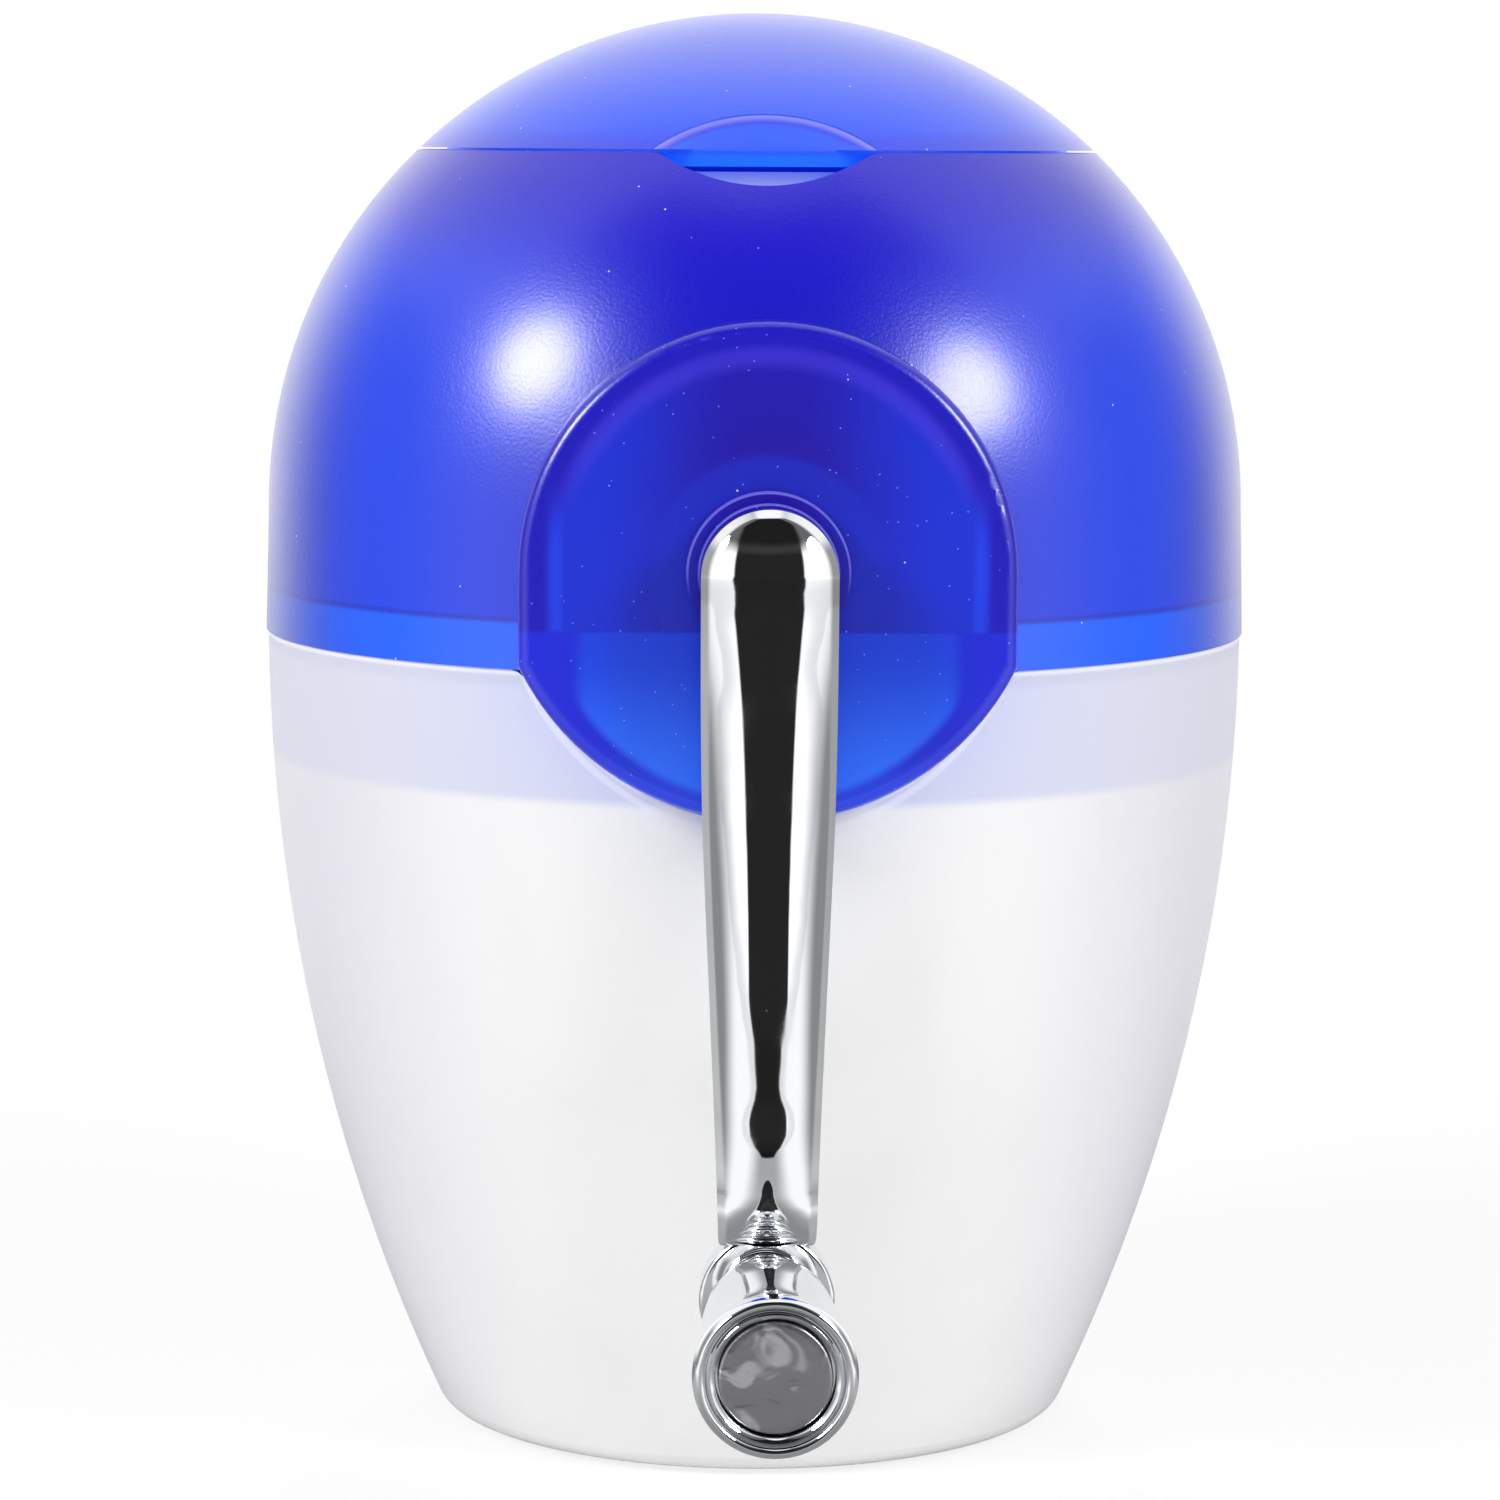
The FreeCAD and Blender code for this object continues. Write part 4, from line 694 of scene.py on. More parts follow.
@dataclass(frozen=True)
class BlueShell(Finish):
    """See-through blue plastic, seen against what stands behind it, with painted light and shade.

    Attributes:
        side_shading_colour: Painted light towards the sides: a brighter colour where nothing stands
            behind the wall and light comes through it.
        top_light_colour: Painted light on the top, which is seen at a slant from the front: a veil
            of light.
        rim_colour: Colour of the lit band at the lower rim.
        rim_level: Height where that band ends, in mm.
        top_levels: Heights between which the painted light on the top comes in, in mm.
        glow: Light that comes through the wall, on its inner side.
        marks: What else this shell shows.
        sides: Distances from the middle where the painted light of the sides comes in, in mm.
        edges: Distances from the middle where the painted shade at the outline comes in, in mm.
        edge_shading_colour: Colour of the painted shade at the outline.
        edge_share: How much of that painted shade shows.
        rim_end: Heights over its level between which the lit band ends, in mm.
        line: Heights over that level where the line over the band comes in and ends, in mm.
        line_colour: Colour of that line.
        line_share: How much of it shows.
        speck_colour: Colour of dust and nicks.
        inner_wall: Distances from the dome's centre where the wall's inner side ends, in mm.
    """

    side_shading_colour: Colour
    top_light_colour: Colour
    rim_colour: Colour
    rim_level: float
    top_levels: Span
    glow: Colour
    marks: BossMarks | ScoopVeil
    sides: Span = (12.0, 60.0)
    edges: Span = (58.0, 80.0)
    edge_shading_colour: Colour = (26, 30, 140)
    edge_share: float = 0.75
    rim_end: Span = (-0.5, 0.3)
    line: tuple[Span, Span] = ((-0.7, 0.0), (0.2, 0.9))
    line_colour: Colour = (16, 8, 130)
    line_share: float = 0.4
    speck_colour: Colour = (190, 195, 250)
    inner_wall: Span = (77.7, 78.5)

    def dress(self, tree: MaterialTree) -> None:
        """Lay the colours, the marks, the inner light, moulded grain and specks.

        Args:
            tree: Nodes of the material.
        """
        at = tree.parts(tree.place())
        colour = self.marks.show(tree, at, self.wall_colour(tree, at))
        specks = tree.effect(tree.effects.specks, Spacing=4.5, Size=0.034)["Mask"]
        grain = tree.effect(tree.effects.grain, Size=0.5)
        tree.bump(grain["Height"], depth=0.04)
        rise = tree.highest(tree.over(at, DOME), 0.0)
        inner = tree.fade_mm(tree.length(at.x, at.y, rise), self.inner_wall)
        tree.shade(Base_Color=tree.tint(specks, colour, self.speck_colour),
                   Roughness=self.uneven(tree, grain["Mask"], less=0.015, more=0.015),
                   Emission_Color=tree.tint(inner, (0.0, 0.0, 0.0), self.glow),
                   Emission_Strength=1.0, IOR=1.45, Coat_Weight=0.6, Coat_Roughness=0.22)

    def wall_colour(self, tree: MaterialTree, at: Where) -> Socket:
        """Colour the plain wall from the middle to the outline and from the rim to the top, with
        painted light at the sides and on the top and painted shade at the outline.

        Args:
            tree: Nodes of the material.
            at: Point that is shaded.

        Returns:
            The colour.
        """
        aside = tree.maths("ABSOLUTE", at.x)
        # Painted light: brighter towards the sides, where light comes through the wall.
        colour = tree.tint(tree.ramp_mm(aside, self.sides), linear(self.colour),
                           self.side_shading_colour)
        # Painted light: a veil of light on the top, seen at a slant.
        colour = tree.tint(tree.ramp_mm(at.z, self.top_levels), colour, self.top_light_colour)
        height = tree.over(at, self.rim_level)
        over_rim = tree.ramp_mm(height, self.rim_end)
        colour = tree.blend(over_rim, linear(self.rim_colour), colour)
        line = tree.product(tree.band_mm(height, *self.line), self.line_share)
        colour = tree.tint(line, colour, self.line_colour)
        # Painted shade: darker at the outline.
        edge = tree.ramp_mm(aside, self.edges, 0.0, self.edge_share)
        return tree.tint(edge, colour, self.edge_shading_colour)


@dataclass(frozen=True)
class FrostedCup(Finish):
    """Frosted plastic that lets light and dim shapes through.

    Attributes:
        clearness: Share of the light that goes through.
        band_colour: Tint where the hopper's skirt stands close behind the wall.
        band_level: Height of the skirt's lower end, in mm.
        band_end: Heights over it between which the tint comes in, in mm.
        sides: Distances from the middle where the painted shade towards the outline comes in, in mm.
        side_shading_colour: Colour of the painted shade at the outline.
        side_share: How much of that painted shade shows.
        shade: Heights over the seam between which the shade of its rim comes in, in mm.
        shade_colour: Colour of that shade.
        shade_share: How much of it shows.
        speck_colour: Colour of dust and nicks.
        line_colour: Colour of the lit edges.
        line_share: How much of the rim's edge shows.
        notch_share: The notch's edge beside the rim's.
        rim: Heights over the seam between which the rounded rim begins, in mm.
        notch: Radii round the crank where the notch's pale edge ends, in mm.
        gap: Radii where that edge has a darker line, as it comes in and as it ends, in mm.
        ahead: Places before the body axis, as y, behind which there is no notch.
    """

    clearness: float
    band_colour: Colour
    band_level: float
    band_end: Span = (-1.5, 0.6)
    sides: Span = (30.0, 72.0)
    side_shading_colour: Colour = (208, 207, 217)
    side_share: float = 0.75
    shade: Span = (-3.4, -1.6)
    shade_colour: Colour = (190, 192, 212)
    shade_share: float = 0.35
    speck_colour: Colour = (190, 190, 196)
    line_colour: Colour = (250, 250, 255)
    line_share: float = 0.55
    notch_share: float = 0.7
    rim: Span = (-1.2, -0.5)
    notch: Span = (40.4, 40.9)
    gap: tuple[Span, Span] = ((38.9, 39.3), (39.4, 39.8))
    ahead: Span = (-40.0, -30.0)

    def dress(self, tree: MaterialTree) -> None:
        """Frost, cloudiness, the skirt's band, shade, lit edges and specks.

        Args:
            tree: Nodes of the material.
        """
        grain = tree.effect(tree.effects.grain, Size=0.6)
        clouds = tree.effect(tree.effects.handling, Size=45.0)["Mask"]
        specks = tree.effect(tree.effects.specks, Spacing=14.0, Size=0.012)["Mask"]
        at = tree.parts(tree.place())
        shade = tree.ramp_mm(tree.over(at, SEAM), self.shade)
        layers = (
            (tree.ramp_mm(tree.over(at, self.band_level), self.band_end), self.band_colour),
            # Painted shade: darker towards the outline.
            (tree.ramp_mm(tree.maths("ABSOLUTE", at.x), self.sides, 0.0, self.side_share),
             self.side_shading_colour),
            (tree.product(shade, self.shade_share), self.shade_colour),
            (self.lit_edges(tree, at), self.line_colour),
            (specks, self.speck_colour),
        )
        colour = self.mottled(tree, clouds, change=0.97)
        for share, layer in layers:
            colour = tree.tint(share, colour, layer)
        tree.shade(Base_Color=colour, IOR=1.2,
                   Roughness=self.uneven(tree, grain["Mask"], less=0.05, more=0.05),
                   Transmission_Weight=self.clearness)
        tree.bump(grain["Height"], depth=0.012)

    def lit_edges(self, tree: MaterialTree, at: Where) -> Socket:
        """Mask the pale lines where the rounded rim and the notch's edge catch the light.

        Args:
            tree: Nodes of the material.
            at: Point that is shaded.

        Returns:
            The mask.
        """
        rim = tree.ramp_mm(tree.over(at, SEAM), self.rim)
        _, reach = tree.crank_reach(at)
        notch = tree.product(tree.fade_mm(reach, self.notch),
                             tree.flip(tree.band_mm(reach, *self.gap)),
                             tree.fade_mm(at.y, self.ahead), self.notch_share)
        return tree.product(tree.highest(rim, notch), self.line_share)


@dataclass(frozen=True)
class PlainPlastic(Finish):
    """Solid moulded plastic.

    Attributes:
        cast: Painted light: colour that light through the blue shell throws on its highest part.
        cast_levels: Heights between which that painted light comes in, in mm.
    """

    cast: Colour
    cast_levels: Span

    def dress(self, tree: MaterialTree) -> None:
        """Moulded grain, slight flow clouds and the painted blue light near the top.

        Args:
            tree: Nodes of the material.
        """
        grain = tree.effect(tree.effects.grain, Size=0.5)
        clouds = tree.effect(tree.effects.handling, Size=25.0)["Mask"]
        # Painted light: blue light through the shell, near the top.
        cast = tree.ramp_mm(tree.parts(tree.place()).z, self.cast_levels)
        tree.shade(Base_Color=tree.tint(cast, self.mottled(tree, clouds, change=0.93), self.cast),
                   Roughness=self.uneven(tree, grain["Mask"], less=0.05, more=0.06))
        tree.bump(grain["Height"], depth=0.01)


@dataclass(frozen=True)
class Chrome(Finish):
    """Plating over a moulded or cast core.

    Attributes:
        waviness: Depth of the slow waves in the plating, in mm.
        wave_length: Distance between them, in mm.
        pitted: How much rougher a pit is than what lies round it.
    """

    waviness: float
    wave_length: float
    pitted: float = 0.4

    def dress(self, tree: MaterialTree) -> None:
        """Waves of the core, smears and tiny pits.

        Args:
            tree: Nodes of the material.
        """
        smear = tree.effect(tree.effects.handling, Size=18.0)["Mask"]
        pits = tree.effect(tree.effects.specks, Spacing=7.0, Size=0.014)["Mask"]
        smeared = self.uneven(tree, smear, less=0.0, more=0.05)
        rough = tree.maths("MULTIPLY_ADD", pits, self.pitted, smeared)
        tree.shade(Metallic=1.0, Roughness=rough)
        waves = tree.add("TexNoise", Vector=tree.place(), Scale=1.0 / (self.wave_length * MM),
                         Detail=1.0)
        tree.bump(waves.outputs["Fac"], self.waviness)


@dataclass(frozen=True)
class CloudedPlating(Finish):
    """Plating with paler clouds painted into its colour, which stand for brighter reflections in its
    wavy surface.

    Attributes:
        reflection_cloud_colour: Colour of the clouds of painted reflection.
        cloud_size: Width of a cloud, in mm.
        cloud_levels: Noise between which the clouds come in.
    """

    reflection_cloud_colour: Colour
    cloud_size: float
    cloud_levels: Span = (0.54, 0.64)

    def dress(self, tree: MaterialTree) -> None:
        """Clouds of painted reflection, smears and slow waves.

        Args:
            tree: Nodes of the material.
        """
        clouds = tree.add("TexNoise", Vector=tree.place(), Scale=1.0 / (self.cloud_size * MM),
                          Detail=2.5, Distortion=1.2).outputs["Fac"]
        smear = tree.effect(tree.effects.handling, Size=8.0)["Mask"]
        # Painted reflection: paler clouds in the plating's colour.
        pale = tree.ramp(clouds, self.cloud_levels)
        tree.shade(Metallic=1.0, Roughness=self.uneven(tree, smear, less=0.0, more=0.08),
                   Base_Color=tree.tint(pale, linear(self.colour), self.reflection_cloud_colour))
        tree.bump(clouds, depth=0.3)


@dataclass(frozen=True)
class BrushedSteel(Finish):
    """Stamped or turned steel with parallel marks."""

    def dress(self, tree: MaterialTree) -> None:
        """Parallel marks and uneven shine.

        Args:
            tree: Nodes of the material.
        """
        marks = tree.effect(tree.effects.brushing, Pitch=0.3)["Height"]
        smear = tree.effect(tree.effects.handling, Size=12.0)["Mask"]
        tree.shade(Metallic=1.0, Base_Color=self.mottled(tree, smear, change=0.85),
                   Roughness=self.uneven(tree, marks, 0.08, 0.1, levels=(0.3, 0.7)))
        tree.bump(marks, depth=0.01)


@dataclass(frozen=True)
class Rubber(Finish):
    """Matt soft rubber."""

    def dress(self, tree: MaterialTree) -> None:
        """Coarse grain and bloom.

        Args:
            tree: Nodes of the material.
        """
        grain = tree.effect(tree.effects.grain, Size=0.9)
        tree.shade(Base_Color=self.mottled(tree, grain["Mask"], change=1.25))
        tree.bump(grain["Height"], depth=0.05)


class Slot(Enum):
    """Material slots of the record."""

    FROSTED = "frosted_plastic"
    BLUE = "blue_plastic"
    MILKY = "milky_plastic"
    BEARING = "bearing_plastic"
    CHROME = "chrome"
    PLUG = "plug_mirror"
    STEEL = "steel"
    RUBBER = "pad_rubber"


FINISHES: dict[Slot, Finish] = {
    Slot.FROSTED: FrostedCup("frosted_cup", (240, 240, 239), 0.4, clearness=0.15,
                             band_colour=(210, 213, 234), band_level=SEAM - 19.3),
    Slot.BLUE: BlueShell("blue_head", (10, 4, 178), 0.3, side_shading_colour=(14, 58, 210),
                         top_light_colour=(26, 14, 176), rim_colour=(4, 86, 236), rim_level=DECK,
                         top_levels=(185.0, 206.0), glow=(6, 30, 150), marks=BossMarks()),
    Slot.MILKY: PlainPlastic("milky_hopper", (222, 226, 244), 0.4, cast=(92, 112, 226),
                             cast_levels=(198.5, 205.0)),
    Slot.BEARING: PlainPlastic("bearing_plastic", (226, 226, 230), 0.4, cast=(190, 200, 236),
                               cast_levels=(150.0, 175.0)),
    Slot.CHROME: Chrome("chrome_plating", (238, 240, 243), 0.03, waviness=0.02, wave_length=9.0),
    Slot.PLUG: CloudedPlating("plug_plating", (176, 176, 180), 0.3,
                              reflection_cloud_colour=(240, 240, 242), cloud_size=6.5),
    Slot.STEEL: BrushedSteel("brushed_steel", (205, 207, 210), 0.3),
    Slot.RUBBER: Rubber("pad_rubber", (60, 62, 70), 0.75),
}
LID_FINISH = BlueShell("blue_lid", (26, 74, 228), 0.31, side_shading_colour=(50, 80, 212),
                       top_light_colour=(78, 98, 212), rim_colour=(4, 86, 240), rim_level=JOINT - 0.2,
                       top_levels=(210.0, 226.0), glow=(10, 70, 190), marks=ScoopVeil())


# ---------------------------------------------------------------- mesh helpers

def finished(name: str, bm: bmesh.types.BMesh, sharp: float = 35.0) -> bpy.types.Object:
    """Turn a mesh that was built in mm into a smooth-shaded object in metres.

    Args:
        name: Name of the piece.
        bm: Its mesh, which is used up.
        sharp: Angle over which an edge stays sharp, in degrees.

    Returns:
        The new object, at the origin.
    """
    bmesh.ops.remove_doubles(bm, verts=bm.verts, dist=0.0005)
    bmesh.ops.recalc_face_normals(bm, faces=bm.faces)
    bmesh.ops.transform(bm, matrix=Matrix.Scale(MM, 4), verts=bm.verts)
    mesh = bpy.data.meshes.new(name)
    bm.to_mesh(mesh)
    bm.free()
    mesh.shade_smooth()
    mesh.set_sharp_from_angle(angle=math.radians(sharp))
    piece = bpy.data.objects.new(name, mesh)
    bpy.context.scene.collection.objects.link(piece)
    return piece


def arc(centre: Span, radii: Span, start: float, end: float, steps: int) -> list[Span]:
    """Points of an elliptical arc in a plane.

    Args:
        centre: Its centre.
        radii: Its two radii, of which a negative one turns the arc over.
        start: Angle of the first point, in degrees.
        end: Angle of the last point, in degrees.
        steps: Number of runs between them.

    Returns:
        The points, both ends included.
    """
    turns = (math.radians(start + (end - start) * n / steps) for n in range(steps + 1))
    return [(centre[0] + radii[0] * math.cos(t), centre[1] + radii[1] * math.sin(t))
            for t in turns]


def evenly(start: float, end: float, steps: int) -> list[float]:
    """Values from start to end in even steps, both included."""
    return [start + (end - start) * n / steps for n in range(steps + 1)]


def chain(bm: bmesh.types.BMesh, points: Sequence[Vector], closed: bool
          ) -> list[bmesh.types.BMEdge]:
    """Add a chain of edges.

    Args:
        bm: Mesh that takes it.
        points: Its corners.
        closed: True to join the last corner to the first.

    Returns:
        The edges.
    """
    verts = [bm.verts.new(point) for point in points]
    pairs = list(zip(verts, verts[1:]))
    if closed:
        pairs.append((verts[-1], verts[0]))
    return [bm.edges.new(pair) for pair in pairs]


def turn(bm: bmesh.types.BMesh, edges: Sequence[bmesh.types.BMEdge], level: float, angle: float,
         steps: int) -> None:
    """Turn a chain of edges about an axis that points forwards.

    Args:
        bm: Mesh that takes the turned skin.
        edges: The chain.
        level: Height of the axis, in mm.
        angle: Angle of the turn, in radians, of which a full one is joined up.
        steps: Number of flats round the axis.
    """
    verts = list({vert for edge in edges for vert in edge.verts})
    bmesh.ops.spin(bm, geom=verts + list(edges), cent=(0, 0, level), axis=(0, 1, 0),
                   angle=angle, steps=steps, use_merge=angle == math.tau)


def turn_profile(bm: bmesh.types.BMesh, profile: Sequence[Span], level: float, steps: int
                 ) -> None:
    """Turn a profile all the way about an axis that points forwards.

    Args:
        bm: Mesh that takes the turned skin.
        profile: Distance before the body axis and radius of each corner, in mm.
        level: Height of the axis, in mm.
        steps: Number of flats round the axis.
    """
    points = [Vector((0, -y, level + radius)) for y, radius in profile]
    turn(bm, chain(bm, points, False), level, math.tau, steps)


class Curve:
    """Smooth curve through stations, by a monotone cubic in each value."""

    def __init__(self, stations: Sequence[tuple[float, ...]]) -> None:
        """Take the stations.

        Args:
            stations: Rows of a place and the values there, with the places in rising order.
        """
        self.stations = stations
        self.slopes = [[(b[k] - a[k]) / (b[0] - a[0]) for k in range(1, len(a))]
                       for a, b in zip(stations, stations[1:])]

    def tangent(self, station: int, value: int) -> float:
        """Slope of one value at a station, without overshoot.

        Args:
            station: Number of the station.
            value: Number of the value.

        Returns:
            The slope.
        """
        if station in (0, len(self.slopes)):
            return self.slopes[min(station, len(self.slopes) - 1)][value]
        before, after = (self.slopes[n][value] for n in (station - 1, station))
        return 0.0 if before * after <= 0 else 2 * before * after / (before + after)

    def read(self, place: float) -> list[float]:
        """Read the curve.

        Args:
            place: Place to read.

        Returns:
            The values at that place.
        """
        last = len(self.slopes) - 1
        here = next((n for n in range(last) if place <= self.stations[n + 1][0]), last)
        low, high = self.stations[here:here + 2]
        width = high[0] - low[0]
        t = (place - low[0]) / width
        from_low, from_high = 2 * t**3 - 3 * t**2 + 1, 3 * t**2 - 2 * t**3
        low_slope, high_slope = (t**3 - 2 * t**2 + t) * width, (t**3 - t**2) * width
        return [from_low * low[k + 1] + low_slope * self.tangent(here, k)
                + from_high * high[k + 1] + high_slope * self.tangent(here + 1, k)
                for k in range(len(low) - 1)]


# ---------------------------------------------------------------- crank

@dataclass
class Arm:
    """Chromed bar with a round top and a crowned front, with its hub and eye.

    Attributes:
        stations: Height, half width, back, front and rise of the crown along the arm, in mm.
        bevel: Width of the bevel between the crown and the arm's sides, in mm.
        corner: Rounding of the arm's lower end, in mm.
        corner_steps: Runs across that rounding.
        seat: Depth of the lower end's back that meets the eye and stays sharp, in mm.
        runs: Number of runs along the arm.
        top_steps: Number of flats round its top.
        crown_steps: Runs across half the crown.
        bevel_steps: Runs across the bevel.
        wall_steps: Runs along a side.
        back_steps: Runs across half the back.
        hub: Distance before the body axis and radius of the hub's corners, in mm.
        eye: The same of the eye that carries the knob.
        round_steps: Number of flats round the hub and the eye.
    """

    stations: tuple[tuple[float, ...], ...] = (
        (47.75, 7.10, 94.40, 100.10, 0.55),
        (49.0, 7.20, 94.30, 101.35, 0.70),
        (50.5, 7.27, 94.28, 102.45, 0.95),
        (52.5, 7.33, 94.25, 103.40, 1.40),
        (55.0, 7.40, 94.15, 103.92, 2.10),
        (58.0, 7.50, 94.00, 103.98, 2.80),
        (70.6, 8.02, 93.55, 103.10, 3.70),
        (85.0, 8.66, 93.00, 102.10, 4.50),
        (100.0, 9.34, 92.45, 100.95, 4.80),
        (112.0, 9.80, 92.15, 100.05, 4.60),
        (128.0, 10.04, 92.00, 99.10, 3.85),
        (137.0, 10.08, 92.00, 98.72, 3.12),
        (142.0, 10.09, 92.00, 98.54, 2.80),
        (146.0, 10.10, 92.00, 98.50, 2.70),
    )
    bevel: float = 1.2
    corner: float = 0.8
    corner_steps: int = 5
    seat: float = 0.5
    runs: int = 56
    top_steps: int = 56
    crown_steps: int = 28
    bevel_steps: int = 4
    wall_steps: int = 3
    back_steps: int = 4
    hub: tuple[Span, ...] = ((89.0, 0.0), (89.0, 8.7), (89.3, 9.0), (93.3, 9.0))
    eye: tuple[Span, ...] = ((93.9, 0.0), (93.9, 9.6), (94.3, 10.0),
                             *arc((99.7, 9.3), (0.7, 0.7), 90.0, 0.0, 6), (100.4, 0.0))
    round_steps: int = 96

    def half_section(self, sizes: Sequence[float]) -> list[Span]:
        """Right half of a cross-section, from the crown to the middle of the back.

        Args:
            sizes: Half width, back, front and rise of the crown there, in mm.

        Returns:
            Its corners, across and forwards.
        """
        half, back, front, rise = sizes
        crown = half - self.bevel
        radius = (crown**2 + rise**2) / (2 * rise)
        reach = math.degrees(math.asin(min(crown / radius, 1.0)))
        top = arc((front - radius, 0.0), (radius, radius), 0.0, reach, self.crown_steps)
        edge = front - rise
        bevel = evenly(0.0, self.bevel, self.bevel_steps)[1:]
        wall = evenly(edge - self.bevel, back, self.wall_steps)[1:]
        flat = evenly(half, 0.0, self.back_steps)[1:]
        return [*((x, y) for y, x in top), *((crown + cut, edge - cut) for cut in bevel),
                *((half, y) for y in wall), *((x, back) for x in flat)]

    def build(self) -> bpy.types.Object:
        """Build the arm.

        Returns:
            The piece.
        """
        bm = bmesh.new()
        curve = Curve(self.stations)
        low, high = self.stations[0][0], self.stations[-1][0]
        rings = []
        for height in evenly(low, high, self.runs):
            right = self.half_section(curve.read(height))
            left = [(-x, y) for x, y in reversed(right[1:-1])]
            rings.append(chain(bm, [Vector((x, -y, height)) for x, y in right + left], True))
        for lower, upper in zip(rings, rings[1:]):
            bmesh.ops.bridge_loops(bm, edges=lower + upper)
        self.close_foot(bm, rings[0])
        right = self.half_section(curve.read(high))
        turn(bm, chain(bm, [Vector((x, -y, high)) for x, y in right], False), CRANK, -math.pi,
             self.top_steps)
        bmesh.ops.remove_doubles(bm, verts=bm.verts, dist=0.001)
        turn_profile(bm, self.hub, CRANK, self.round_steps)
        turn_profile(bm, self.eye, KNOB, self.round_steps)
        return finished("crank_arm_plated", bm)

    def close_foot(self, bm: bmesh.types.BMesh, ring: Sequence[bmesh.types.BMEdge]) -> None:
        """Close the arm's lower end and round its edge, except where it meets the eye.

        Args:
            bm: Mesh of the arm.
            ring: Edges of its lowest section.
        """
        bmesh.ops.holes_fill(bm, edges=ring, sides=0)
        behind = self.stations[0][2] + self.seat
        rim = [edge for edge in ring if min(vert.co.y for vert in edge.verts) < -behind]
        bmesh.ops.bevel(bm, geom=rim, offset=self.corner, offset_type="OFFSET",
                        segments=self.corner_steps, profile=0.5, affect="EDGES", material=-1)


@dataclass
class Knob:
    """Chromed bell-shaped grip with beads at its root and a rolled rim.

    Attributes:
        back: Distance of its back before the body axis, in mm.
        bore: Radius of its bore, in mm.
        root: Radius of its root, in mm.
        chamfer: Width of the bevel at the back of the root, in mm.
        beads: Number of beads.
        bead_pitch: Distance between beads, in mm.
        bead_middle: Distance of a bead's top from its start, in mm.
        bead_radii: Half length and height of a bead, in mm.
        bead_sweep: First and last angle over a bead, in degrees, and the runs between.
        groove: Distance of the groove after a bead from the bead's start, in mm.
        flare: Length and height of the flare from the root to the bell, in mm.
        flare_sweep: The same as bead_sweep for the flare.
        bell: Distance before the body axis and radius along the bell, in mm.
        bell_steps: Runs along the bell.
        roll: Distance before the body axis and radius of the rolled rim's middle, in mm.
        roll_radii: Half length and height of the roll, in mm.
        roll_sweep: The same as bead_sweep for the roll.
        mouth: Corners of the inner ring, the seat of the plug and the bore, like the bell's.
        steps: Number of flats round the knob.
        sharp: Angle over which an edge stays sharp, in degrees.
    """

    back: float = 100.7
    bore: float = 2.56
    root: float = 6.5
    chamfer: float = 0.2
    beads: int = 3
    bead_pitch: float = 3.0
    bead_middle: float = 0.9
    bead_radii: Span = (0.95, 0.8)
    bead_sweep: Sweep = (20.0, 160.0, 10)
    groove: float = 2.1
    flare: Span = (4.2, 3.05)
    flare_sweep: Sweep = (9.0, 81.0, 8)
    bell: tuple[Span, ...] = ((113.9, 9.55), (119.0, 9.95), (128.0, 10.35), (137.0, 10.85),
                              (142.0, 11.25), (144.8, 11.60))
    bell_steps: int = 24
    roll: Span = (144.8, 10.5)
    roll_radii: Span = (2.4, 1.1)
    roll_sweep: Sweep = (81.0, -54.0, 15)
    mouth: tuple[Span, ...] = ((145.9, 9.46), (145.9, 9.3), (146.7, 9.22), (146.85, 9.05),
                               (146.45, 8.45), (146.2, 8.35), (142.8, 8.35), (142.8, 6.0),
                               (135.2, 6.0), (135.2, 2.56))
    steps: int = 128
    sharp: float = 40.0

    def build(self) -> bpy.types.Object:
        """Build the knob in one turned skin.

        Returns:
            The piece.
        """
        profile = [(self.back, self.bore), (self.back, self.root - self.chamfer),
                   (self.back + self.chamfer, self.root)]
        for bead in range(self.beads):
            start = self.back + self.bead_pitch * bead
            if bead:
                profile.append((start, self.root))
            length, height = self.bead_radii
            profile += arc((start + self.bead_middle, self.root), (-length, height),
                           *self.bead_sweep)
            profile.append((start + self.groove, self.root))
        length, height = self.flare
        foot = self.bell[0][0]
        profile.append((foot - length, self.root))
        profile += arc((foot, self.root), (-length, height), *self.flare_sweep)
        curve = Curve(self.bell)
        profile += [(y, curve.read(y)[0])
                    for y in evenly(foot, self.bell[-1][0], self.bell_steps)]
        profile += arc(self.roll, self.roll_radii, *self.roll_sweep)
        profile += [*self.mouth, (self.back, self.bore)]
        bm = bmesh.new()
        turn_profile(bm, profile, KNOB, self.steps)
        return finished("knob_bell", bm, self.sharp)


@dataclass
class Plug:
    """Slightly crowned disc in the end of the knob.

    Attributes:
        crown: Distance of its middle before the body axis, in mm.
        fall: How far the crown falls to its edge, in mm.
        radius: Radius of the crown, in mm.
        crown_steps: Runs from its middle to its edge.
        rim: Distance before the body axis and radius of the rim's corners, in mm.
        steps: Number of flats round the disc.
        sharp: Angle over which an edge stays sharp, in degrees.
    """

    crown: float = 146.45
    fall: float = 0.15
    radius: float = 7.5
    crown_steps: int = 10
    rim: tuple[Span, ...] = ((146.22, 7.75), (146.05, 7.93), (145.8, 8.0), (142.8, 8.0),
                             (142.8, 0.0))
    steps: int = 96
    sharp: float = 40.0

    def build(self) -> bpy.types.Object:
        """Build the plug.

        Returns:
            The piece.
        """
        crown = [(self.crown - self.fall * (radius / self.radius) ** 2, radius)
                 for radius in evenly(0.0, self.radius, self.crown_steps)]
        bm = bmesh.new()
        turn_profile(bm, [*crown, *self.rim], KNOB, self.steps)
        return finished("knob_plug_disc", bm, self.sharp)


